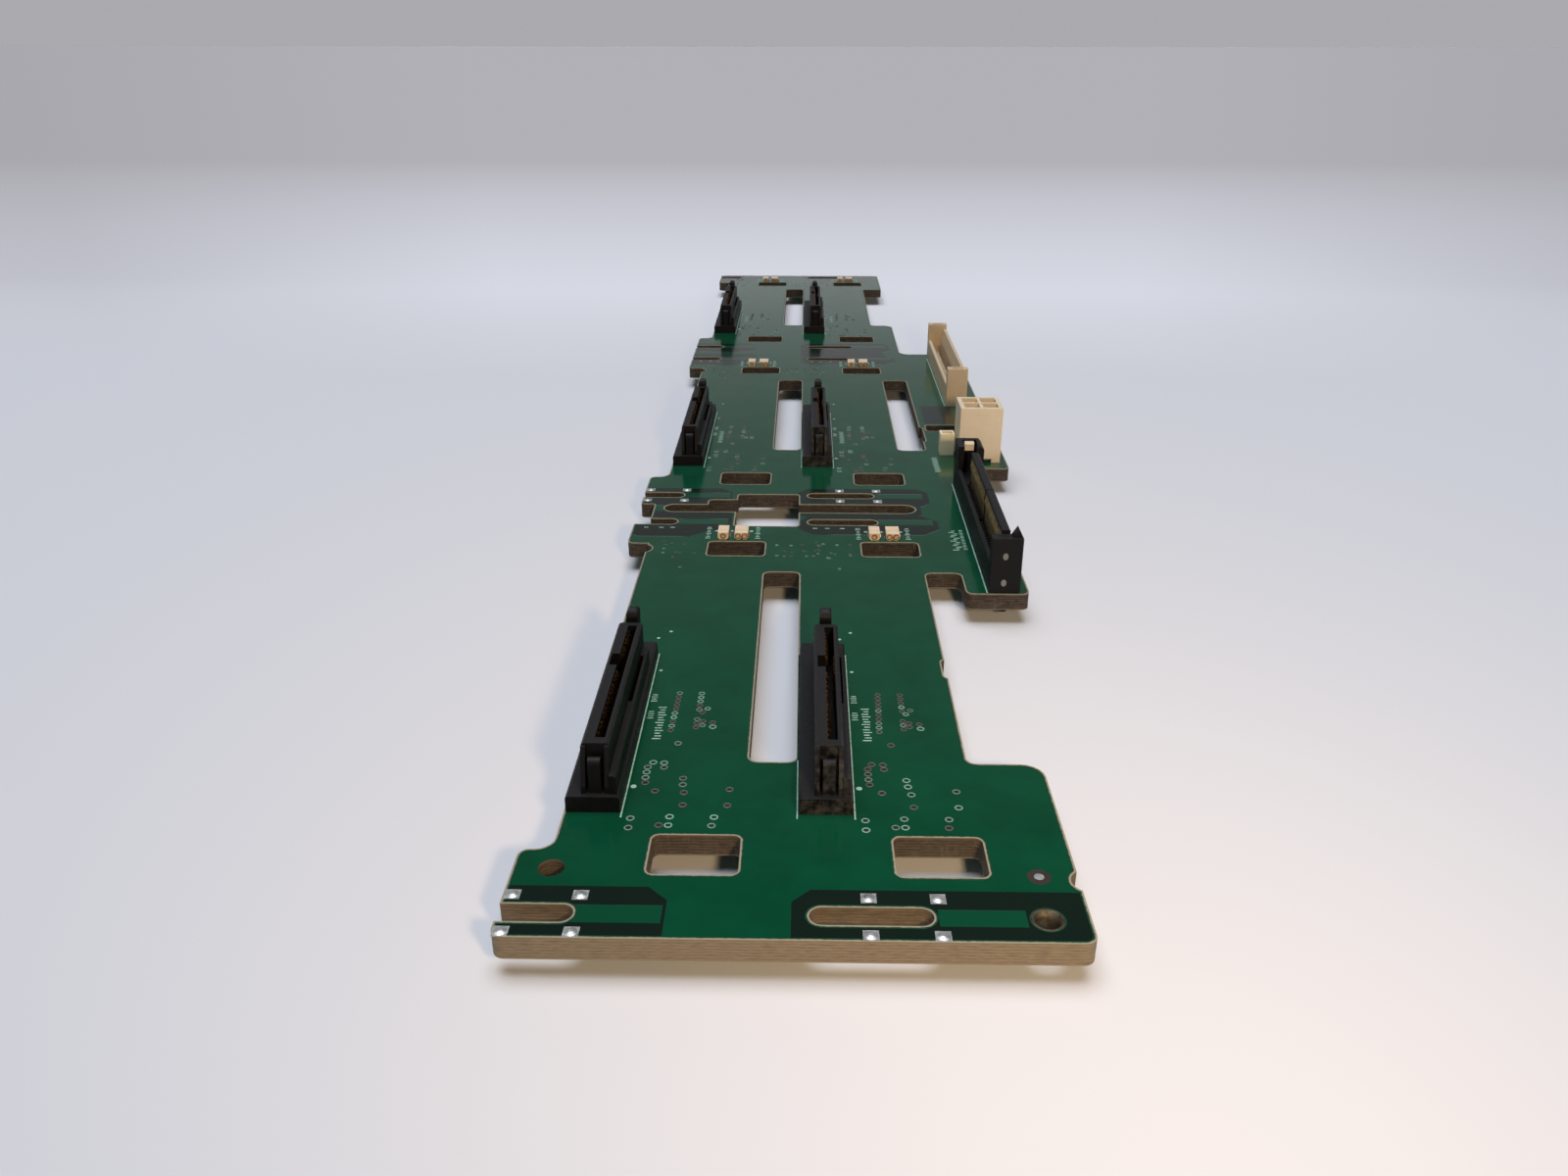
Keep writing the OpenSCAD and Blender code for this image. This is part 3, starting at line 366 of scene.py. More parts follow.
@dataclass(frozen=True)
class BoardFinish:
    """Solder mask on both faces and a routed laminate on every side wall.

    The dark fields have no copper behind the mask, and the strips inside them do.
    Most of them repeat at every column, with y folded into one column.
    """

    name: str = "masked_laminate"
    mask: str = "084D33"
    mask_deep: str = "06442C"
    bare: str = "12201A"
    bare_weave: str = "16251F"
    strip: str = "0C4B33"
    laminate: str = "554A3A"
    laminate_dark: str = "201A12"
    # Pale fibre ends, and the painted highlight on the walls' top and bottom edges.
    laminate_pale_and_edge_glint: str = "84765D"
    # Paler laminate colours for walls near the near end: painted light from the near lamp.
    near_lit_laminate: str = "8C7C62"
    near_lit_laminate_dark: str = "6A5D4A"
    fold_start: float = 20.0
    first_column: float = 20.0
    thread_mm: float = 0.8
    ply_mm: float = 0.42
    near_wall: float = 0.6
    near_light_reach: Point = (26.0, 2.0)
    dark_fields: tuple[Zone, ...] = (
        Zone(-2, 18.9, -2.2, 8.2, 2.4), Zone(33.0, 60.6, -2.4, 8.4, 2.2),
        Zone(-2, 15.4, -19.4, -6.4, 3.4), Zone(-2, 19.6, -16.4, -5.6, 1.6),
        Zone(33.0, 61.2, -18.0, -7.6, 3.2), Zone(33.0, 58.4, -9.0, 1.0, 2.0))
    first_fields: tuple[Zone, ...] = (Zone(-2, 18.9, -2, 8.9, 2.4), Zone(33.0, 70, -2, 8.7, 2.2))
    side_fields: tuple[Zone, ...] = (Zone(64.5, 72.6, 193.6, 209.4, 0.6),)
    strips: tuple[Zone, ...] = (
        Zone(8.4, 18.5, 2.6, 5.6), Zone(49.5, 59.3, 2.6, 5.4),
        Zone(8.8, 18.9, -12.8, -9.8), Zone(49.2, 60.2, -12.7, -9.9))

    def material(self, origin: Vector) -> Material:
        """Build the finish.

        Args:
            origin: The board's left near corner on its top face, in metres.

        Returns:
            The material for the board's own solid.
        """
        graph = Graph(self.name)
        point = graph.place(origin)
        x, y, z = graph.parts(point)
        lifted = graph.math("ADD", y, self.fold_start)
        within = graph.math("FLOORED_MODULO", lifted, COLUMN_STEP)
        folded = graph.math("SUBTRACT", within, self.fold_start)
        upper = graph.math("GREATER_THAN", z, -0.5)
        first = graph.math("LESS_THAN", y, self.first_column)

        dark = self.union(graph, x, folded, self.dark_fields)
        near = graph.math("MULTIPLY", self.union(graph, x, y, self.first_fields), first)
        side = self.union(graph, x, y, self.side_fields)
        dark = graph.math("MAXIMUM", graph.math("MAXIMUM", dark, near), side)
        strip = self.union(graph, x, folded, self.strips)

        clouds = graph.patches(point, 9.0, (0.35, 0.7), roughness=0.55)
        green = graph.mix(clouds, srgb(self.mask), srgb(self.mask_deep))
        weave = graph.mix(self.weave(graph, x, y), srgb(self.bare), srgb(self.bare_weave))
        flat = graph.mix(graph.math("MULTIPLY", dark, upper), green, weave)
        flat = graph.mix(graph.math("MULTIPLY", strip, upper), flat, srgb(self.strip))

        wall, wall_height = self.wall(graph, point, y, z)
        face = graph.math("GREATER_THAN", graph.math("ABSOLUTE", graph.facing_up()), 0.7)
        colour = graph.mix(face, wall, flat)
        smear = graph.patches(point, 14.0, (0.35, 0.75), (0.10, 0.18), 4, 0.65)
        fibres = graph.patches(point, 0.35, (0.3, 0.7), (0.7, 0.9), roughness=0.6)
        orange_peel = graph.math("MULTIPLY", graph.noise(point, 1.6, 2, 0.4), 0.5)
        step = graph.math("MULTIPLY", graph.math("SUBTRACT", strip, dark), 0.9)
        relief = graph.math("ADD", orange_peel, step)
        graph.bump(graph.either(face, relief, wall_height), 0.04, 0.5)
        rough = graph.either(face, smear, fibres)
        return graph.surface(Base_Color=colour, Roughness=rough, IOR=1.5)

    def union(self, graph: Graph, x: Socket, y: Socket, zones: tuple[Zone, ...]) -> Socket:
        """A mask that is 1 inside any of the zones.

        Args:
            graph: The material's graph.
            x: Board x in millimetres.
            y: Board y in millimetres.
            zones: The fields.

        Returns:
            The mask.
        """
        total = None
        for zone in zones:
            dx = self.beyond(graph, x, zone.x0, zone.x1)
            dy = self.beyond(graph, y, zone.y0, zone.y1)
            far = graph.math("MAXIMUM", dx, dy)
            corner = graph.math("ADD", graph.math("ADD", dx, dy), zone.chamfer)
            inside = graph.between(graph.math("MAXIMUM", far, corner), 0.06, -0.06)
            total = inside if total is None else graph.math("MAXIMUM", total, inside)
        return total

    def beyond(self, graph: Graph, value: Socket, low: float, high: float) -> Socket:
        """How far a value lies outside a range; it is negative inside."""
        centred = graph.math("ABSOLUTE", graph.math("SUBTRACT", value, (low + high) / 2))
        return graph.math("SUBTRACT", centred, (high - low) / 2)

    def weave(self, graph: Graph, x: Socket, y: Socket) -> Socket:
        """The glass cloth that shows where there is no copper.

        Args:
            graph: The material's graph.
            x: Board x in millimetres.
            y: Board y in millimetres.

        Returns:
            Its shade, from 0 to 0.7.
        """
        turns = 2 * math.pi / self.thread_mm
        warp, weft = (graph.math("SINE", graph.math("MULTIPLY", axis, turns)) for axis in (x, y))
        return graph.between(graph.math("MULTIPLY", warp, weft), -1.0, 1.0, 0.0, 0.7)

    def wall(self, graph: Graph, point: Socket, y: Socket, z: Socket) -> tuple[Socket, Socket]:
        """The routed side wall: plies seen edge-on, with fibre ends, burnt streaks and a painted
        highlight along its top and bottom edges.

        Walls near the board's near end are painted paler, painted light from the near lamp that
        fades over the first 26 mm.

        Args:
            graph: The material's graph.
            point: Place in millimetres.
            y: Board y in millimetres.
            z: Height above the top face, in millimetres.

        Returns:
            The colour and the height map.
        """
        ply = graph.noise(graph.vector("MULTIPLY", point, (0.35, 0.35, 3.0)), 0.55, 3, 0.6)
        streak = graph.noise(graph.vector("MULTIPLY", point, (1.6, 1.6, 0.25)), 0.5, 3, 0.7)
        lines = graph.math("SINE", graph.math("MULTIPLY", z, 2 * math.pi / self.ply_mm))
        bands = graph.math("ADD", graph.math("MULTIPLY", lines, 0.10), ply)
        # Painted light: the near edge face itself gets paler bands.
        edge = graph.math("MULTIPLY", graph.math("LESS_THAN", y, self.near_wall), 0.10)
        bands = graph.math("ADD", bands, edge)
        # Painted light: walls fade from the paler near colours at y = 2 mm to the plain ones at y =
        # 26 mm.
        near = graph.between(y, *self.near_light_reach)
        low = graph.mix(near, srgb(self.laminate_dark), srgb(self.near_lit_laminate_dark))
        high = graph.mix(near, srgb(self.laminate), srgb(self.near_lit_laminate))
        tone = graph.mix(graph.between(bands, 0.35, 0.72), low, high)
        pale_and_edge_glint = srgb(self.laminate_pale_and_edge_glint)
        tone = graph.mix(graph.between(streak, 0.56, 0.78, 0, 0.5), tone, pale_and_edge_glint)
        # Painted highlight: the wall's top and bottom edges are mixed towards the pale colour, as
        # if catching the light.
        upper, lower = graph.between(z, -0.22, -0.1), graph.between(z, -2.78, -2.9)
        rim = graph.math("MULTIPLY", graph.math("MAXIMUM", upper, lower), 0.7)
        return graph.mix(rim, tone, pale_and_edge_glint), graph.math("ADD", bands, streak)


@dataclass(frozen=True)
class BareRim:
    """The narrow bare edge where the mask stops short of a routed cut; its pale colour is bare
    laminate and also a painted highlight where the mask edge catches the light.
    """

    name: str = "bare_rim"
    pale_and_edge_glint: str = "9C967C"
    green: str = "0D4430"

    def material(self) -> Material:
        """Build the finish from the strip's own width attribute.

        Returns:
            The material.
        """
        graph = Graph(self.name)
        point = graph.place()
        wander = graph.patches(point, 0.5, (0.3, 0.7), (-0.12, 0.12))
        ragged = graph.math("ADD", graph.attribute("inward"), wander)
        masked = graph.between(ragged, 0.42, 0.6)
        # The pale outer part is bare laminate and a painted highlight of the mask edge; the inner
        # part is mask green.
        colour = graph.mix(masked, srgb(self.pale_and_edge_glint), srgb(self.green))
        rough = graph.between(ragged, 0.4, 0.6, 0.7, 0.3)
        graph.bump(graph.noise(point, 0.3, 3), 0.02, 0.5)
        return graph.surface(Base_Color=colour, Roughness=rough)


@dataclass(frozen=True)
class ViaRing:
    """A plated ring under the mask, in one of several tints; the paler tints are a painted glint.
    """

    name: str = "via_ring"
    dull: str = "5E5B50"
    painted_glint: str = "86BDA4"

    def material(self) -> Material:
        """Build the finish from each ring's own tint attribute.

        Returns:
            The material.
        """
        graph = Graph(self.name)
        point = graph.place()
        tint = graph.between(graph.attribute("tint"), 0.45, 0.95)
        # Each ring mixes at random between the dull plated colour and a painted glint.
        colour = graph.mix(tint, srgb(self.dull), srgb(self.painted_glint))
        graph.bump(graph.noise(point, 0.2), 0.01, 0.4)
        return graph.surface(Base_Color=colour, Roughness=0.28)


# ---- Meshes ----

@dataclass(frozen=True)
class Datum:
    """The board's own coordinates: millimetres from its left near corner on one face."""

    left: float
    near: float
    top: float
    bottom: float

    @classmethod
    def of_board(cls) -> "Datum":
        """Read the datum from the board's solid."""
        low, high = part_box("circuit_board")
        return cls(low[0], low[1], high[2], low[2])

    def at(self, x: float, y: float, z: float = 0.0) -> Vector:
        """A place z millimetres above the top face, in metres."""
        return Vector((self.left + x * MM, self.near + y * MM, self.top + z * MM))

    def under(self, x: float, y: float, z: float = 0.0) -> Vector:
        """A place z millimetres below the bottom face, in metres."""
        return Vector((self.left + x * MM, self.near + y * MM, self.bottom - z * MM))


def add_piece(name: str, mesh: bpy.types.Mesh, material: Material) -> bpy.types.Object:
    """Put a finished mesh in the scene as a piece of the object.

    Args:
        name: Name of the piece.
        mesh: Its mesh, already in place.
        material: Its finish.

    Returns:
        The new object, which rides on the board's body.
    """
    mesh.name = name
    mesh.materials.clear()
    mesh.materials.append(material)
    piece = bpy.data.objects.new(name, mesh)
    bpy.context.scene.collection.objects.link(piece)
    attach(piece, BODY)
    LOG.info("made %s with %d faces", name, len(mesh.polygons))
    return piece


def dress(material: Material, *nodes: str) -> None:
    """Give CAD nodes their finish.

    Args:
        material: The finish.
        *nodes: The nodes' names.
    """
    for node in nodes:
        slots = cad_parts[node].data.materials
        for index in range(len(slots)):
            slots[index] = material
        if not slots:
            slots.append(material)
        LOG.info("dressed %s in %s", node, material.name)


class Shape(Enum):
    """What a pattern repeats at each of its points."""

    BAR = "bar"
    DISC = "disc"
    RING = "ring"
    CONE = "cone"


@dataclass
class Pattern:
    """Copies of one small shape at chosen points, made by a geometry node tree."""

    name: str
    shape: Shape
    material: Material
    slot: str
    hole: float = 0.45
    sides: int = 24
    seed: int = 7
    cone_tip: float = 0.16
    marks: list[tuple[Vector, Triple, float]] = field(default_factory=list)

    def add(self, place: Vector, size: Triple, tilt: float = 0.0) -> None:
        """Add a copy: its foot in metres, its size in millimetres and its turn about X."""
        self.marks.append((place, size, tilt))

    def build(self) -> bpy.types.Object:
        """Run the tree on the points and keep its result as a plain piece.

        Returns:
            The piece.
        """
        points = bpy.data.meshes.new(self.name + "_points")
        points.from_pydata([place for place, _, _ in self.marks], [], [])
        stretch = points.attributes.new("stretch", "FLOAT_VECTOR", "POINT")
        turn = points.attributes.new("turn", "FLOAT_VECTOR", "POINT")
        for index, (_, size, tilt) in enumerate(self.marks):
            stretch.data[index].vector = tuple(value * MM for value in size)
            turn.data[index].vector = (tilt, 0, 0)
        carrier = bpy.data.objects.new(self.name + "_carrier", points)
        bpy.context.scene.collection.objects.link(carrier)
        modifier = carrier.modifiers.new("pattern", "NODES")
        tree = self.tree()
        modifier.node_group = tree
        wanted = {"Hole": self.hole, "Sides": self.sides, "Seed": self.seed,
                  "Finish": self.material}
        for item in tree.interface.items_tree:
            if item.in_out == "INPUT" and item.name in wanted:
                modifier[item.identifier] = wanted[item.name]
        graph = bpy.context.evaluated_depsgraph_get()
        mesh = bpy.data.meshes.new_from_object(carrier.evaluated_get(graph), depsgraph=graph)
        carrier.modifiers.clear()
        bpy.data.objects.remove(carrier)
        bpy.data.node_groups.remove(tree)
        return add_piece(self.name, mesh, self.material)

    def tree(self) -> bpy.types.GeometryNodeTree:
        """The node tree: one unit shape, copied to each point, turned and stretched.

        Returns:
            The tree, which ends in Realize Instances and Set Material.
        """
        tree = bpy.data.node_groups.new(self.name + "_tree", "GeometryNodeTree")
        inputs = {"Geometry": "Geometry", "Hole": "Float", "Sides": "Int", "Seed": "Int",
                  "Finish": "Material"}
        for name, kind in inputs.items():
            tree.interface.new_socket(name, in_out="INPUT", socket_type="NodeSocket" + kind)
        tree.interface.new_socket("Geometry", in_out="OUTPUT", socket_type="NodeSocketGeometry")
        nodes = Nodes(tree)
        entry = nodes.add("NodeGroupInput")
        values = {"Points": entry["Geometry"], "Instance": self.unit(nodes, entry)}
        for name, socket in (("stretch", "Scale"), ("turn", "Rotation")):
            values[socket] = nodes.add("GeometryNodeInputNamedAttribute", {"Name": name},
                                       data_type="FLOAT_VECTOR")["Attribute"]
        copies = nodes.add("GeometryNodeInstanceOnPoints", values)["Instances"]
        chance = nodes.add("FunctionNodeRandomValue", {"Seed": entry["Seed"]}, data_type="FLOAT")[1]
        tinted = nodes.add("GeometryNodeStoreNamedAttribute",
                           {"Geometry": copies, "Name": "tint", "Value": chance},
                           data_type="FLOAT", domain="INSTANCE")["Geometry"]
        real = nodes.add("GeometryNodeRealizeInstances", {"Geometry": tinted})["Geometry"]
        finished = nodes.add("GeometryNodeSetMaterial",
                             {"Geometry": real, "Material": entry["Finish"]})["Geometry"]
        nodes.add("NodeGroupOutput", {"Geometry": finished})
        return tree

    def unit(self, nodes: Nodes, entry: bpy.types.NodeOutputs) -> Socket:
        """The unit shape that the tree copies, 1 across and 1 high, standing on Z = 0.

        Args:
            nodes: The tree's builder.
            entry: The tree's inputs.

        Returns:
            The unit shape.
        """
        if self.shape in (Shape.DISC, Shape.CONE):
            top = 0.5 if self.shape is Shape.DISC else self.cone_tip
            return nodes.add("GeometryNodeMeshCone", {
                "Vertices": entry["Sides"], "Radius Bottom": 0.5, "Radius Top": top,
                "Depth": 1.0})["Mesh"]
        if self.shape is Shape.RING:
            wall, radius = (
                nodes.add("ShaderNodeMath", {0: entry["Hole"], 1: scale, 2: offset},
                          operation="MULTIPLY_ADD")[0]
                for scale, offset in ((-0.5, 0.5), (0.25, 0.25)))
            path = nodes.add("GeometryNodeCurvePrimitiveCircle",
                             {"Resolution": entry["Sides"], "Radius": radius})["Curve"]
            profile = nodes.add("GeometryNodeCurvePrimitiveQuadrilateral",
                                {"Width": wall, "Height": 1.0})["Curve"]
            shape = nodes.add("GeometryNodeCurveToMesh",
                              {"Curve": path, "Profile Curve": profile})["Mesh"]
        else:
            shape = nodes.add("GeometryNodeMeshCube", {"Size": (1, 1, 1)})["Mesh"]
        values = {"Translation": (0, 0, 0.5), "Geometry": shape}
        return nodes.add("GeometryNodeTransform", values)["Geometry"]


# ---- Sub-assemblies ----

@dataclass
class CircuitBoard:
    """The board itself: its mask and laminate, bare rims, pads and plated holes."""

    datum: Datum
    rim_width: float = 0.45
    rim_height: float = 0.02
    plain_hole: Point = (5.3, 11.7)
    plain_reach: float = 3.0
    plated_hole: Point = (61.6, 3.9)
    plated_width: float = 3.2
    liner_share: float = 0.975
    ring_share: float = 0.84
    pad_t: float = 0.035
    pad_size: Point = (1.8, 1.7)
    pad_offset: float = 3.15
    pad_columns: tuple[float, ...] = (1.1, 8.9, 41.8, 49.7)
    slot_near: float = 4.1
    dome: Triple = (1.5, 1.5, 0.2)
    aiming_places: tuple[Point, ...] = ((61.9, 11.5), (8.0, 392.0))
    aiming_width: float = 1.2
    clearing: Triple = (2.8, 2.8, 0.015)

    def make(self) -> None:
        """Dress the board and add what lies along its cuts."""
        dress(BoardFinish().material(self.datum.at(0, 0)), "circuit_board")
        rim = BareRim().material()
        self.rims("rim_top", rim, self.datum.top, 1)
        self.rims("rim_bottom", rim, self.datum.bottom, -1)
        self.plated()
        self.pads()

    def rims(self, name: str, material: Material, height: float, side: int) -> None:
        """A thin strip along every edge of one face.

        Args:
            name: Name of the piece.
            material: Its finish.
            height: Height of the face, in metres.
            side: 1 for the top face and -1 for the bottom one.
        """
        source = bmesh.new()
        source.from_mesh(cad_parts["circuit_board"].data)
        bmesh.ops.remove_doubles(source, verts=source.verts, dist=1e-6)
        strip = bmesh.new()
        inward = strip.verts.layers.float.new("inward")
        steps: dict[int, list[tuple[Vector, Vector]]] = {}
        edges = []
        plain = self.datum.at(*self.plain_hole).xy
        for edge in source.edges:
            if (edge.verts[0].co.xy - plain).length < self.plain_reach * MM:
                continue
            flat = [f for f in edge.link_faces if f.normal.z * side > 0.9
                    and abs(f.calc_center_median().z - height) < 1e-5]
            walls = [f for f in edge.link_faces if abs(f.normal.z) < 0.5]
            if len(flat) == 1 and walls:
                into = -walls[0].normal.copy()
                edges.append((edge.verts[0].index, edge.verts[1].index))
                for vert in edge.verts:
                    steps.setdefault(vert.index, []).append((vert.co.copy(), into))
        lift = Vector((0, 0, side * self.rim_height * MM))
        made: dict[int, tuple[bmesh.types.BMVert, ...]] = {}
        for index, found in steps.items():
            place = found[0][0]
            first, second = found[0][1], found[-1][1]
            middle = (first + second).normalized() if (first + second).length > 1e-6 else first
            inner = place + middle * self.rim_width * MM / max(0.5, middle.dot(first))
            verts = []
            for spot, across in ((place, 0.0), (place + lift, 0.0), (inner + lift, 1.0),
                                 (inner, 1.0)):
                vert = strip.verts.new(spot)
                vert[inward] = across
                verts.append(vert)
            made[index] = tuple(verts)
        for a, b in edges:
            for row in range(4):
                after = (row + 1) % 4
                corner = (made[a][row], made[b][row], made[b][after], made[a][after])
                if not strip.faces.get(corner):
                    strip.faces.new(corner)
        bmesh.ops.recalc_face_normals(strip, faces=strip.faces)
        mesh = bpy.data.meshes.new(name)
        strip.to_mesh(mesh)
        strip.free()
        source.free()
        add_piece(name, mesh, material)

    def plated(self) -> None:
        """The liner and the rings of the plated screw hole."""
        copper = Plated("worn_copper", "75705E", "463A30", 0.6).material()
        width, datum = self.plated_width, self.datum
        thickness = (datum.top - datum.bottom) / MM
        liner = Pattern("screw_liner", Shape.RING, copper, "tin", self.liner_share, 48)
        liner.add(datum.under(*self.plated_hole), (width, width, thickness))
        liner.build()
        ring = Pattern("screw_pad", Shape.RING, copper, "tin", self.ring_share, 48)
        across = width / self.ring_share
        for place in (datum.at(*self.plated_hole), datum.under(*self.plated_hole, self.pad_t)):
            ring.add(place, (across, across, self.pad_t))
        ring.build()

    def pads(self) -> None:
        """The bonding pads on both sides of the thin slots, and the aiming marks."""
        tin = Plated("pad_tin", "E6E7E2", "B9BDB8", 0.45).material()
        pads = Pattern("bonding_pads", Shape.BAR, tin, "tin")
        domes = Pattern("bonding_solder", Shape.CONE, tin, "tin", sides=20)
        for slot in (self.slot_near, self.slot_near + COLUMN_STEP):
            for x in self.pad_columns:
                for y in (slot - self.pad_offset, slot + self.pad_offset):
                    pads.add(self.datum.at(x, y), (*self.pad_size, self.pad_t))
                    domes.add(self.datum.at(x, y, self.pad_t), self.dome)
        pads.build()
        domes.build()

        clearing = Moulded("mark_clearing", "3A322C", "2A2622", 0.35).material()
        around = Pattern("aiming_clearing", Shape.DISC, clearing, "chip_black", sides=32)
        target = Pattern("aiming_mark", Shape.DISC, tin, "tin", sides=32)
        for place in self.aiming_places:
            around.add(self.datum.at(*place), self.clearing)
            target.add(self.datum.at(*place), (self.aiming_width, self.aiming_width, self.pad_t))
        around.build()
        target.build()


@dataclass(frozen=True)
class Run:
    """A straight row of places: its first one, the step to the next and how many."""

    x: float
    y: float
    dx: float = 0.0
    dy: float = 0.0
    count: int = 1

    def places(self) -> list[Point]:
        """Every place of the row."""
        return [(self.x + step * self.dx, self.y + step * self.dy) for step in range(self.count)]


@dataclass(frozen=True)
class Legend:
    """A column of short printed bars that stands for a line of lettering.

    Every bar is shifted and shortened by its own small share, in turn.
    """

    x: float
    y: float
    pitch: float
    count: int
    wide: float
    long: float
    shift: float = 0.0
    shift_turns: int = 2
    taper: float = 0.0
    taper_turns: int = 2


@dataclass
class Bays:
    """What repeats for each of the six drive bays: vias and white ink."""

    datum: Datum
    columns: int = 3
    rows: int = 2
    near_size: float = 1.1
    row_size: float = 0.95
    far_size: float = 0.6
    ring_t: float = 0.04
    hole_t: float = 0.022
    hole_share: float = 0.63
    ink_t: float = 0.02
    near_vias: tuple[Point, ...] = (
        (16.9, 40.1), (21.4, 44.6), (14.0, 35.2), (13.4, 34.0), (13.4, 32.8), (13.4, 31.5),
        (13.5, 30.3), (15.5, 35.1), (15.6, 34.0), (15.0, 28.4), (18.4, 31.4), (18.5, 29.9),
        (18.8, 28.1), (18.9, 25.3), (24.7, 28.9), (24.6, 25.3), (12.6, 22.3), (12.6, 20.3),
        (17.5, 22.7), (16.3, 20.9), (17.5, 20.9), (23.1, 22.7), (22.9, 20.9))
    via_rows: tuple[Run, ...] = (
        Run(15.5, 43.6, 0.035, 1.18, 10), Run(19.0, 44.4, 0, 1.12, 3), Run(19.9, 45.0, 0, 1.1, 2),
        Run(21.3, 45.8), Run(20.3, 49.7, -0.7, -1.1, 2), Run(19.1, 49.4, 0, 1.2, 5))
    far_vias: tuple[Point, ...] = (
        (7.1, 114.0), (7.6, 112.2), (8.6, 112.9), (11.1, 112.6), (7.4, 110.3), (7.4, 108.3),
        (9.9, 108.6), (10.6, 108.1), (9.5, 106.1), (13.4, 108.2), (11.3, 101.5))
    middle_vias: tuple[Point, ...] = (
        (29.0, 112.4), (31.7, 112.2), (33.9, 112.5), (30.5, 109.3), (31.9, 109.0), (34.2, 109.4),
        (36.9, 112.6), (37.9, 113.1), (36.3, 109.7), (29.1, 107.2), (30.5, 106.9), (31.8, 107.0),
        (34.7, 107.0), (36.0, 107.1), (38.7, 106.3), (37.2, 109.7), (43.1, 112.7), (43.0, 107.5),
        (40.8, 101.1))
    socket_middle: float = 44.7
    socket_line: Point = (0.2, 44.4)
    socket_left: float = 11.35
    neighbour_line: Point = (0.15, 44.4)
    neighbour_right: float = 4.05
    dots: tuple[Triple, ...] = (
        (12.1, 29.4, 0.8), (12.2, 61.3, 0.55), (12.4, 74.8, 0.55), (10.6, 72.4, 0.55),
        (16.9, 119.6, 0.7), (19.95, 119.6, 0.7), (23.8, 119.6, 0.7))
    legends: tuple[Legend, ...] = (
        Legend(13.7, 41.3, 0.72, 13, 1.2, 0.22, 0.15, 2, 0.2, 3),
        Legend(12.2, 46.9, 0.62, 4, 0.9, 0.2, taper=0.15),
        Legend(12.2, 51.8, 0.62, 4, 0.9, 0.2, taper=0.15),
        Legend(15.4, 115.8, 0.8, 8, 1.0, 0.26, taper=0.25, taper_turns=3),
        Legend(25.1, 115.8, 0.8, 8, 1.0, 0.26, taper=0.25, taper_turns=3))
    side_legends: tuple[Legend, ...] = (
        Legend(63.3, 110.6, 0.75, 14, 1.1, 0.25, 0.4, 3, 0.3, 2),
        Legend(65.2, 110.9, 0.75, 14, 0.7, 0.22),
        Legend(64.2, 156.5, 0.75, 14, 1.2, 0.25, 0.3))
    dash_columns: tuple[float, ...] = (36.4, 38.9, 41.8, 44.9, 2.7, 5.7, 8.0)
    dash_y: float = 121.3
    dash: Point = (0.9, 0.3)
    side_lines: tuple[tuple[Point, Point], ...] = (
        ((66.6, 119.5), (0.25, 57.5)), ((71.3, 236.0), (0.25, 52.0)))

    def starts(self) -> list[Point]:
        """The near left corner of every bay."""
        return [(row * ROW_STEP, column * COLUMN_STEP)
                for column in range(self.columns) for row in range(self.rows)]

    def make(self) -> None:
        """Build every via and every printed mark."""
        # The dark middles are painted shade, standing in for each via's hole.
        tint = Moulded("via_hole", "0B2E20", "10261C", 0.4, soft_edge_mm=0).material()
        ring = Pattern("via_rings", Shape.RING, ViaRing().material(), "tin", 0.62, 20, 11)
        hole = Pattern("via_holes", Shape.DISC, tint, "solder_mask", sides=12)
        in_rows = [place for run in self.via_rows for place in run.places()]
        for x0, y0 in self.starts():
            for places, size in ((self.near_vias, self.near_size), (in_rows, self.row_size),
                                 (self.far_vias, self.far_size)):
                for x, y in places:
                    self.via(ring, hole, x0 + x, y0 + y, size)
        for column in range(self.columns):
            for x, y in self.middle_vias:
                self.via(ring, hole, x, column * COLUMN_STEP + y, self.far_size)
        ring.build()
        hole.build()
        self.print_ink()

    def via(self, ring: Pattern, hole: Pattern, x: float, y: float, size: float) -> None:
        """One via, seen on both faces.

        Args:
            ring: Pattern of the rings.
            hole: Pattern of the dark middles.
            x: Board x in millimetres.
            y: Board y in millimetres.
            size: Outer diameter in millimetres.
        """
        for pattern, wide, tall in ((ring, size, self.ring_t),
                                    (hole, size * self.hole_share, self.hole_t)):
            pattern.add(self.datum.at(x, y), (wide, wide, tall))
            pattern.add(self.datum.under(x, y, tall), (wide, wide, tall))

    def print_ink(self) -> None:
        """The white marks: socket outlines, dots, slot brackets and plain dashes."""
        ink = Ink().material()
        lines = Pattern("ink_lines", Shape.BAR, ink, "lamp_body")
        dots = Pattern("ink_dots", Shape.DISC, ink, "lamp_body", sides=20)

        def bar(x: float, y: float, wide: float, long: float) -> None:
            """One printed line, centred at a place."""
            lines.add(self.datum.at(x, y), (wide, long, self.ink_t))

        def letters(legend: Legend, x0: float = 0.0, y0: float = 0.0) -> None:
            """One column of short bars.

            Args:
                legend: The column.
                x0: Board x of its bay's corner.
                y0: Board y of its bay's corner.
            """
            for step in range(legend.count):
                bar(x0 + legend.x + legend.shift * (step % legend.shift_turns),
                    y0 + legend.y + legend.pitch * step,
                    legend.wide - legend.taper * (step % legend.taper_turns), legend.long)

        for x0, y0 in self.starts():
            bar(x0 + self.socket_left, y0 + self.socket_middle, *self.socket_line)
            for x, y, size in self.dots:
                dots.add(self.datum.at(x0 + x, y0 + y), (size, size, self.ink_t))
            for legend in self.legends:
                letters(legend, x0, y0)
            if x0:
                bar(x0 + self.neighbour_right, y0 + self.socket_middle, *self.neighbour_line)
                for x in self.dash_columns:
                    bar(x, y0 + self.dash_y, *self.dash)
        for middle, size in self.side_lines:
            bar(*middle, *size)
        for legend in self.side_legends:
            letters(legend)
        lines.build()
        dots.build()


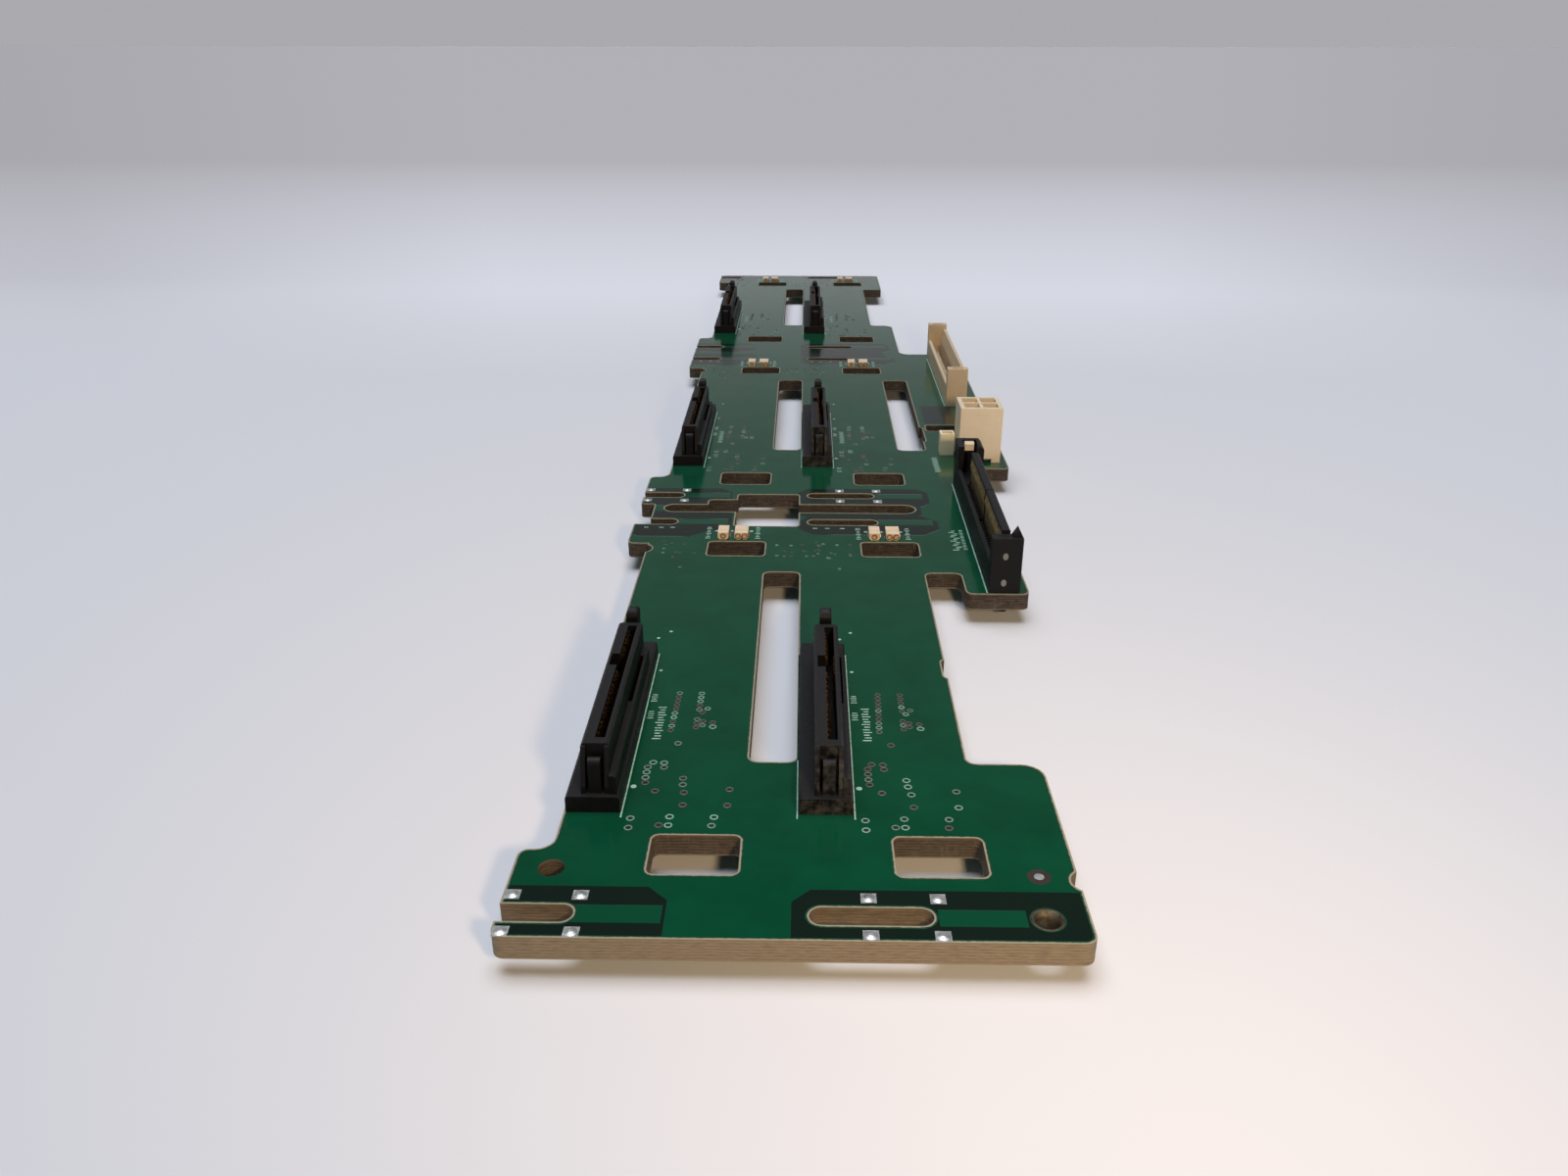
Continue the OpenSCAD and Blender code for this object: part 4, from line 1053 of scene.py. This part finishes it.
@dataclass
class Connectors:
    """The moulded connectors and their contacts."""

    datum: Datum
    sockets: int = 6
    soiled: dict[int, Point] = field(
        default_factory=lambda: {2: (33.75, 23.5), 4: (33.75, 159.5)})
    soil_depth: float = 11.0
    block_middle: float = 69.3
    block_near: float = 90.9
    scar_heights: tuple[float, ...] = (2.0, 7.0)
    scar: Triple = (0.95, 1.3, 0.04)

    def make(self) -> None:
        """Dress every socket, header and contact."""
        black = self.black("black_nylon")
        gold = Plated("gold_flash", "B98F5C", "4E3722", 0.3).material()
        for number in range(1, self.sockets + 1):
            dress(gold, f"drive_contacts_{number}")
            if number not in self.soiled:
                dress(black, f"drive_socket_{number}")
        for number, near_end in self.soiled.items():
            soiled = self.black(f"soiled_nylon_{number}", self.soil_depth, near_end)
            dress(soiled, f"drive_socket_{number}")
        dress(black, "card_connector_housing")
        dress(Plated("bright_gold_flash", "FFE7B4", "C79E60", 0.42).material(),
              "card_contacts_left", "card_contacts_right")
        dress(self.cream("cream_nylon", "F1E2C4", "E6D1A9", 0.2),
              "card_connector_key", "power_header_housing")
        # The ribbon header takes a darker cream than the power header.
        dress(self.cream("darker_cream_nylon", "DCC6A2", "CBAF85", 0.2), "ribbon_header_housing")
        # Painted light: the sensor header's cream is made nearly white and yellower, standing in
        # for warm light that does not reach it.
        dress(self.cream("pale_lit_cream_nylon", "FFF6D2", "F3E8C2", 0.0), "sensor_header_housing")
        dress(Plated("bright_tin", "C9C6BF", "9A958B", 0.32).material(),
              "power_header_pins", "sensor_header_pins", "ribbon_header_pins")
        self.scars()

    def black(self, name: str, soil_depth: float = 0.0, near_end: Point = (0.0, 0.0)) -> Material:
        """Black nylon, painted paler where it faces up: a painted highlight from above.

        Args:
            name: Name of the finish.
            soil_depth: How far the soil reaches from the part's near end, in millimetres.
            near_end: Where that end is on the board.

        Returns:
            The material.
        """
        # The paler colour on faces that face up is a painted highlight.
        finish = Moulded(name, "08080A", "101013", shine=0.2, painted_top_light="232324",
                         soil_depth_mm=soil_depth)
        return finish.material(self.datum.at(*near_end) if soil_depth else ORIGIN)

    def cream(self, name: str, colour: str, dust: str, glow: float) -> Material:
        """One of the cream nylons."""
        return Moulded(name, colour, dust, glow=glow, dust_amount=0.5).material()

    def scars(self) -> None:
        """The two moulding marks on the card connector's near block."""
        finish = Moulded("gate_scar", "7C7C7E", "4A4A4C", 0.6).material()
        marks = Pattern("card_block_marks", Shape.DISC, finish, "black_plastic", sides=20)
        for height in self.scar_heights:
            place = self.datum.at(self.block_middle, self.block_near + self.scar[2] / 2, height)
            marks.add(place, self.scar, UPRIGHT)
        marks.build()


@dataclass
class Lamps:
    """The side-view lamps at the far windows, with their solder."""

    datum: Datum
    bays: Bays
    front: float = 115.2
    lens_columns: tuple[float, ...] = (18.45, 21.35, 22.65)
    lens_height: float = 0.7
    seam: Triple = (1.15, 1.15, 0.03)
    joint_columns: tuple[float, ...] = (17.4, 19.75, 20.5, 23.5)
    joint_rows: tuple[float, ...] = (117.6, 118.7)
    joint: Triple = (0.5, 0.7, 0.45)

    def make(self) -> None:
        """Dress the lamps, solder them down and add their lens seams."""
        white = Moulded("lamp_white", "F2DCBA", "DDC096", 0.42, glow=0.2, dust_amount=0.4)
        dress(white.material(), "status_lamp_bodies", "activity_lamp_bodies")
        dress(Lens().material(), "status_lamp_lenses", "activity_lamp_lenses")
        solder = Plated("lamp_solder_tin", "CFCBC2", "A09A8E", 0.25).material()
        joints = Pattern("lamp_solder", Shape.CONE, solder, "tin", sides=14)
        brown = Moulded("lens_seam", "6B3F22", "8A5A34", 0.4).material()
        seams = Pattern("lens_seams", Shape.RING, brown, "lamp_lens", 0.7)
        for x0, y0 in self.bays.starts():
            for x in self.joint_columns:
                for y in self.joint_rows:
                    joints.add(self.datum.at(x0 + x, y0 + y), self.joint)
            for x in self.lens_columns:
                place = self.datum.at(x0 + x, y0 + self.front, self.lens_height)
                seams.add(place, self.seam, UPRIGHT)
        joints.build()
        seams.build()


@dataclass
class Underside:
    """The parts and solder under the board."""

    datum: Datum
    power_middle: Point = (74.35, 167.9)
    power_pitch: float = 4.2
    power_cone: Triple = (2.5, 2.5, 0.45)
    sensor_middle: Point = (67.5, 169.9)
    sensor_pitch: float = 1.25
    sensor_cone: Triple = (1.1, 1.1, 0.45)

    def make(self) -> None:
        """Dress the parts and add solder where pins come through."""
        dress(Moulded("black_epoxy", "1A1A1C", "2C2C2E", 0.55).material(),
              "controller_chip", "memory_chip", "regulator_body", "chip_resistor_bodies")
        tin = Plated("lead_tin", "C4C1BA", "8F8B82", 0.35).material()
        dress(tin, "controller_leads", "memory_leads", "regulator_leads",
              "bulk_capacitor_terminals", "chip_capacitor_ends", "chip_resistor_ends")
        dress(Moulded("tantalum_epoxy", "C99A2C", "A97C1E", 0.4).material(),
              "bulk_capacitor_bodies")
        dress(Moulded("fired_ceramic", "A5825E", "8A6A48").material(), "chip_capacitor_bodies")
        self.solder(tin)

    def solder(self, tin: Material) -> None:
        """The cones of solder round the power and sensor headers' pins.

        Args:
            tin: Their finish.
        """
        cones = Pattern("pin_solder", Shape.CONE, tin, "tin", sides=28)
        x, y = self.power_middle
        step = self.power_pitch / 2
        for across in (-step, step):
            for along in (-step, step):
                place = self.datum.under(x + across, y + along)
                cones.add(place, self.power_cone, UPSIDE_DOWN)
        x, y = self.sensor_middle
        for across in (-self.sensor_pitch / 2, self.sensor_pitch / 2):
            cones.add(self.datum.under(x + across, y), self.sensor_cone, UPSIDE_DOWN)
        cones.build()


# ---- Studio ----

@dataclass
class Studio:
    """The floor, the lamps and the camera."""

    floor_reach: float = 12.0
    # Floor colours: painted light, brightest behind the middle, with painted shade far away and
    # aside.
    floor_near: str = "E9EAEA"
    floor_middle: str = "F9F9F9"
    floor_far: str = "D2CDCA"
    floor_side: str = "B9B5B2"
    middle_from: Point = (60.0, 190.0)
    far_from: Point = (210.0, 760.0)
    side_from: Point = (60.0, 220.0)
    side_slopes: Point = (0.26, 0.60)
    side_amount: float = 0.42
    wall: Triple = (0.405, 0.4, 0.425)
    stops: tuple[Triple, ...] = (
        (0.0, 0.56, 0.58), (0.15, 0.56, 0.5824), (0.19, 0.42, 0.4368), (0.25, 0.24, 0.2496),
        (0.34, 0.18, 0.1872), (0.50, 0.11, 0.1144), (0.62, 0.018, 0.02))
    behind: Triple = (-0.35, 0.15, 0.75)
    ceiling_from: Triple = (-0.06, 0.02, 1.0)
    ceiling_spread: float = 50.0
    ceiling_strength: float = 2.3
    ceiling_colour: str = "EEF2FF"
    panel_at: Triple = (0.046, -0.330, 0.109)
    panel_size: float = 0.018
    panel_spread: float = 96.0
    panel_power: float = 0.082
    panel_colour: str = "FFD9AE"
    eye: Triple = (-6.369, -304.639, 95.301)
    pitch: float = 0.42681
    yaw: float = -0.016735
    roll: float = 0.000866
    lens: float = 27.9
    sensor: float = 36.0

    def make(self) -> None:
        """Build the studio."""
        self.floor()
        self.sky()
        self.lamps()
        self.camera()
        bpy.context.scene.view_settings.view_transform = "Standard"

    def floor(self) -> None:
        """A wide pale floor with painted light: a painted pool of light behind the board's middle,
        and painted shade that turns it grey far away and aside.
        """
        mesh = bpy.data.meshes.new("floor")
        corners = [(x * self.floor_reach, y * self.floor_reach, 0)
                   for x, y in ((-1, -1), (1, -1), (1, 1), (-1, 1))]
        mesh.from_pydata(corners, [], [(0, 1, 2, 3)])
        graph = Graph("pale_floor")
        x, y, _ = graph.parts(graph.place())
        # Painted light: a pool of light behind the middle, then painted shade that greys the floor
        # far away.
        level = graph.between(y, *self.middle_from)
        painted_light_pool = graph.mix(level, srgb(self.floor_near), srgb(self.floor_middle))
        painted_far_falloff = graph.mix(graph.between(y, *self.far_from), painted_light_pool, srgb(self.floor_far))
        # Painted shade: the floor greys towards the sides as the view turns away from the middle.
        from_eye = graph.math("SUBTRACT", y, self.eye[1])
        slope = graph.math("DIVIDE", graph.math("ABSOLUTE", x), from_eye)
        aside = graph.between(slope, *self.side_slopes, 0.0, self.side_amount)
        painted_side_shade = graph.math("MULTIPLY", aside, graph.between(y, *self.side_from))
        colour = graph.mix(painted_side_shade, painted_far_falloff, srgb(self.floor_side))
        graph.surface(Base_Color=colour, Roughness=1.0, Specular_IOR_Level=0.0)
        mesh.materials.append(graph.material)
        floor = bpy.data.objects.new("floor", mesh)
        bpy.context.scene.collection.objects.link(floor)

    def sky(self) -> None:
        """A grey wall all round with a dark ceiling; the camera sees only the wall."""
        world = bpy.data.worlds.new("studio")
        bpy.context.scene.world = world
        world.use_nodes = True
        world.node_tree.nodes.clear()
        nodes = Nodes(world.node_tree)
        _, y, z = nodes.parts(nodes.add("ShaderNodeTexCoord")["Generated"])
        ramp = nodes.tree.nodes.new("ShaderNodeValToRGB")
        nodes.feed(ramp.inputs[0], z)
        elements = ramp.color_ramp.elements
        elements.remove(elements[1])
        for index, (position, grey, blue) in enumerate(self.stops):
            stop = elements.new(position) if index else elements[0]
            stop.color = (grey, grey, blue, 1)
        dimmed = nodes.add("ShaderNodeVectorMath", {
            0: ramp.outputs[0], "Scale": nodes.between(y, *self.behind)}, operation="SCALE")[0]
        seen = nodes.add("ShaderNodeLightPath")["Is Camera Ray"]
        colour = nodes.mix(seen, dimmed, self.wall)
        light = nodes.add("ShaderNodeBackground", {"Color": colour, "Strength": 1.0})[0]
        nodes.add("ShaderNodeOutputWorld", {"Surface": light})

    def lamps(self) -> None:
        """A cool, soft ceiling, and a warm panel near the board's near end.

        The panel is close, so its light fades along the board, and its limited spread
        keeps its pool on the floor soft.
        """
        ceiling = bpy.data.lights.new("ceiling", "SUN")
        ceiling.angle = math.radians(self.ceiling_spread)
        ceiling.energy = self.ceiling_strength
        self.hang(ceiling, self.ceiling_from, self.ceiling_colour)
        panel = bpy.data.lights.new("key", "AREA")
        panel.size = self.panel_size
        panel.spread = math.radians(self.panel_spread)
        panel.energy = self.panel_power
        self.hang(panel, self.panel_at, self.panel_colour)

    def hang(self, light: bpy.types.Light, place: Triple, colour: str) -> None:
        """Hang a lamp where it points at the middle of the board.

        Args:
            light: The lamp's light.
            place: Its place in metres; only the direction counts for a sun.
            colour: Its colour.
        """
        light.color = srgb(colour)
        lamp = bpy.data.objects.new(light.name, light)
        lamp.location = place
        lamp.rotation_euler = (-Vector(place)).to_track_quat("-Z", "Y").to_euler()
        bpy.context.scene.collection.objects.link(lamp)

    def camera(self) -> None:
        """The camera at its viewing angle."""
        data = bpy.data.cameras.new("camera")
        data.lens = self.lens
        data.sensor_width = self.sensor
        data.clip_start, data.clip_end = 0.01, 20.0
        flat = math.cos(self.pitch)
        forward = Vector((math.sin(self.yaw) * flat, math.cos(self.yaw) * flat,
                          -math.sin(self.pitch)))
        level = Vector((math.cos(self.yaw), -math.sin(self.yaw), 0))
        rise = level.cross(forward)
        right = math.cos(self.roll) * level + math.sin(self.roll) * rise
        up = math.cos(self.roll) * rise - math.sin(self.roll) * level
        turned = Matrix((right, up, -forward)).transposed().to_4x4()
        camera = bpy.data.objects.new("camera", data)
        camera.matrix_world = Matrix.Translation(Vector(self.eye) * MM) @ turned
        bpy.context.scene.collection.objects.link(camera)
        bpy.context.scene.camera = camera


def main() -> None:
    """Dress the whole board and set up the studio."""
    logging.basicConfig(level=logging.INFO, format="%(name)s: %(message)s")
    datum = Datum.of_board()
    bays = Bays(datum)
    Studio().make()
    CircuitBoard(datum).make()
    bays.make()
    Connectors(datum).make()
    Lamps(datum, bays).make()
    Underside(datum).make()


if __name__ == "__main__":
    main()
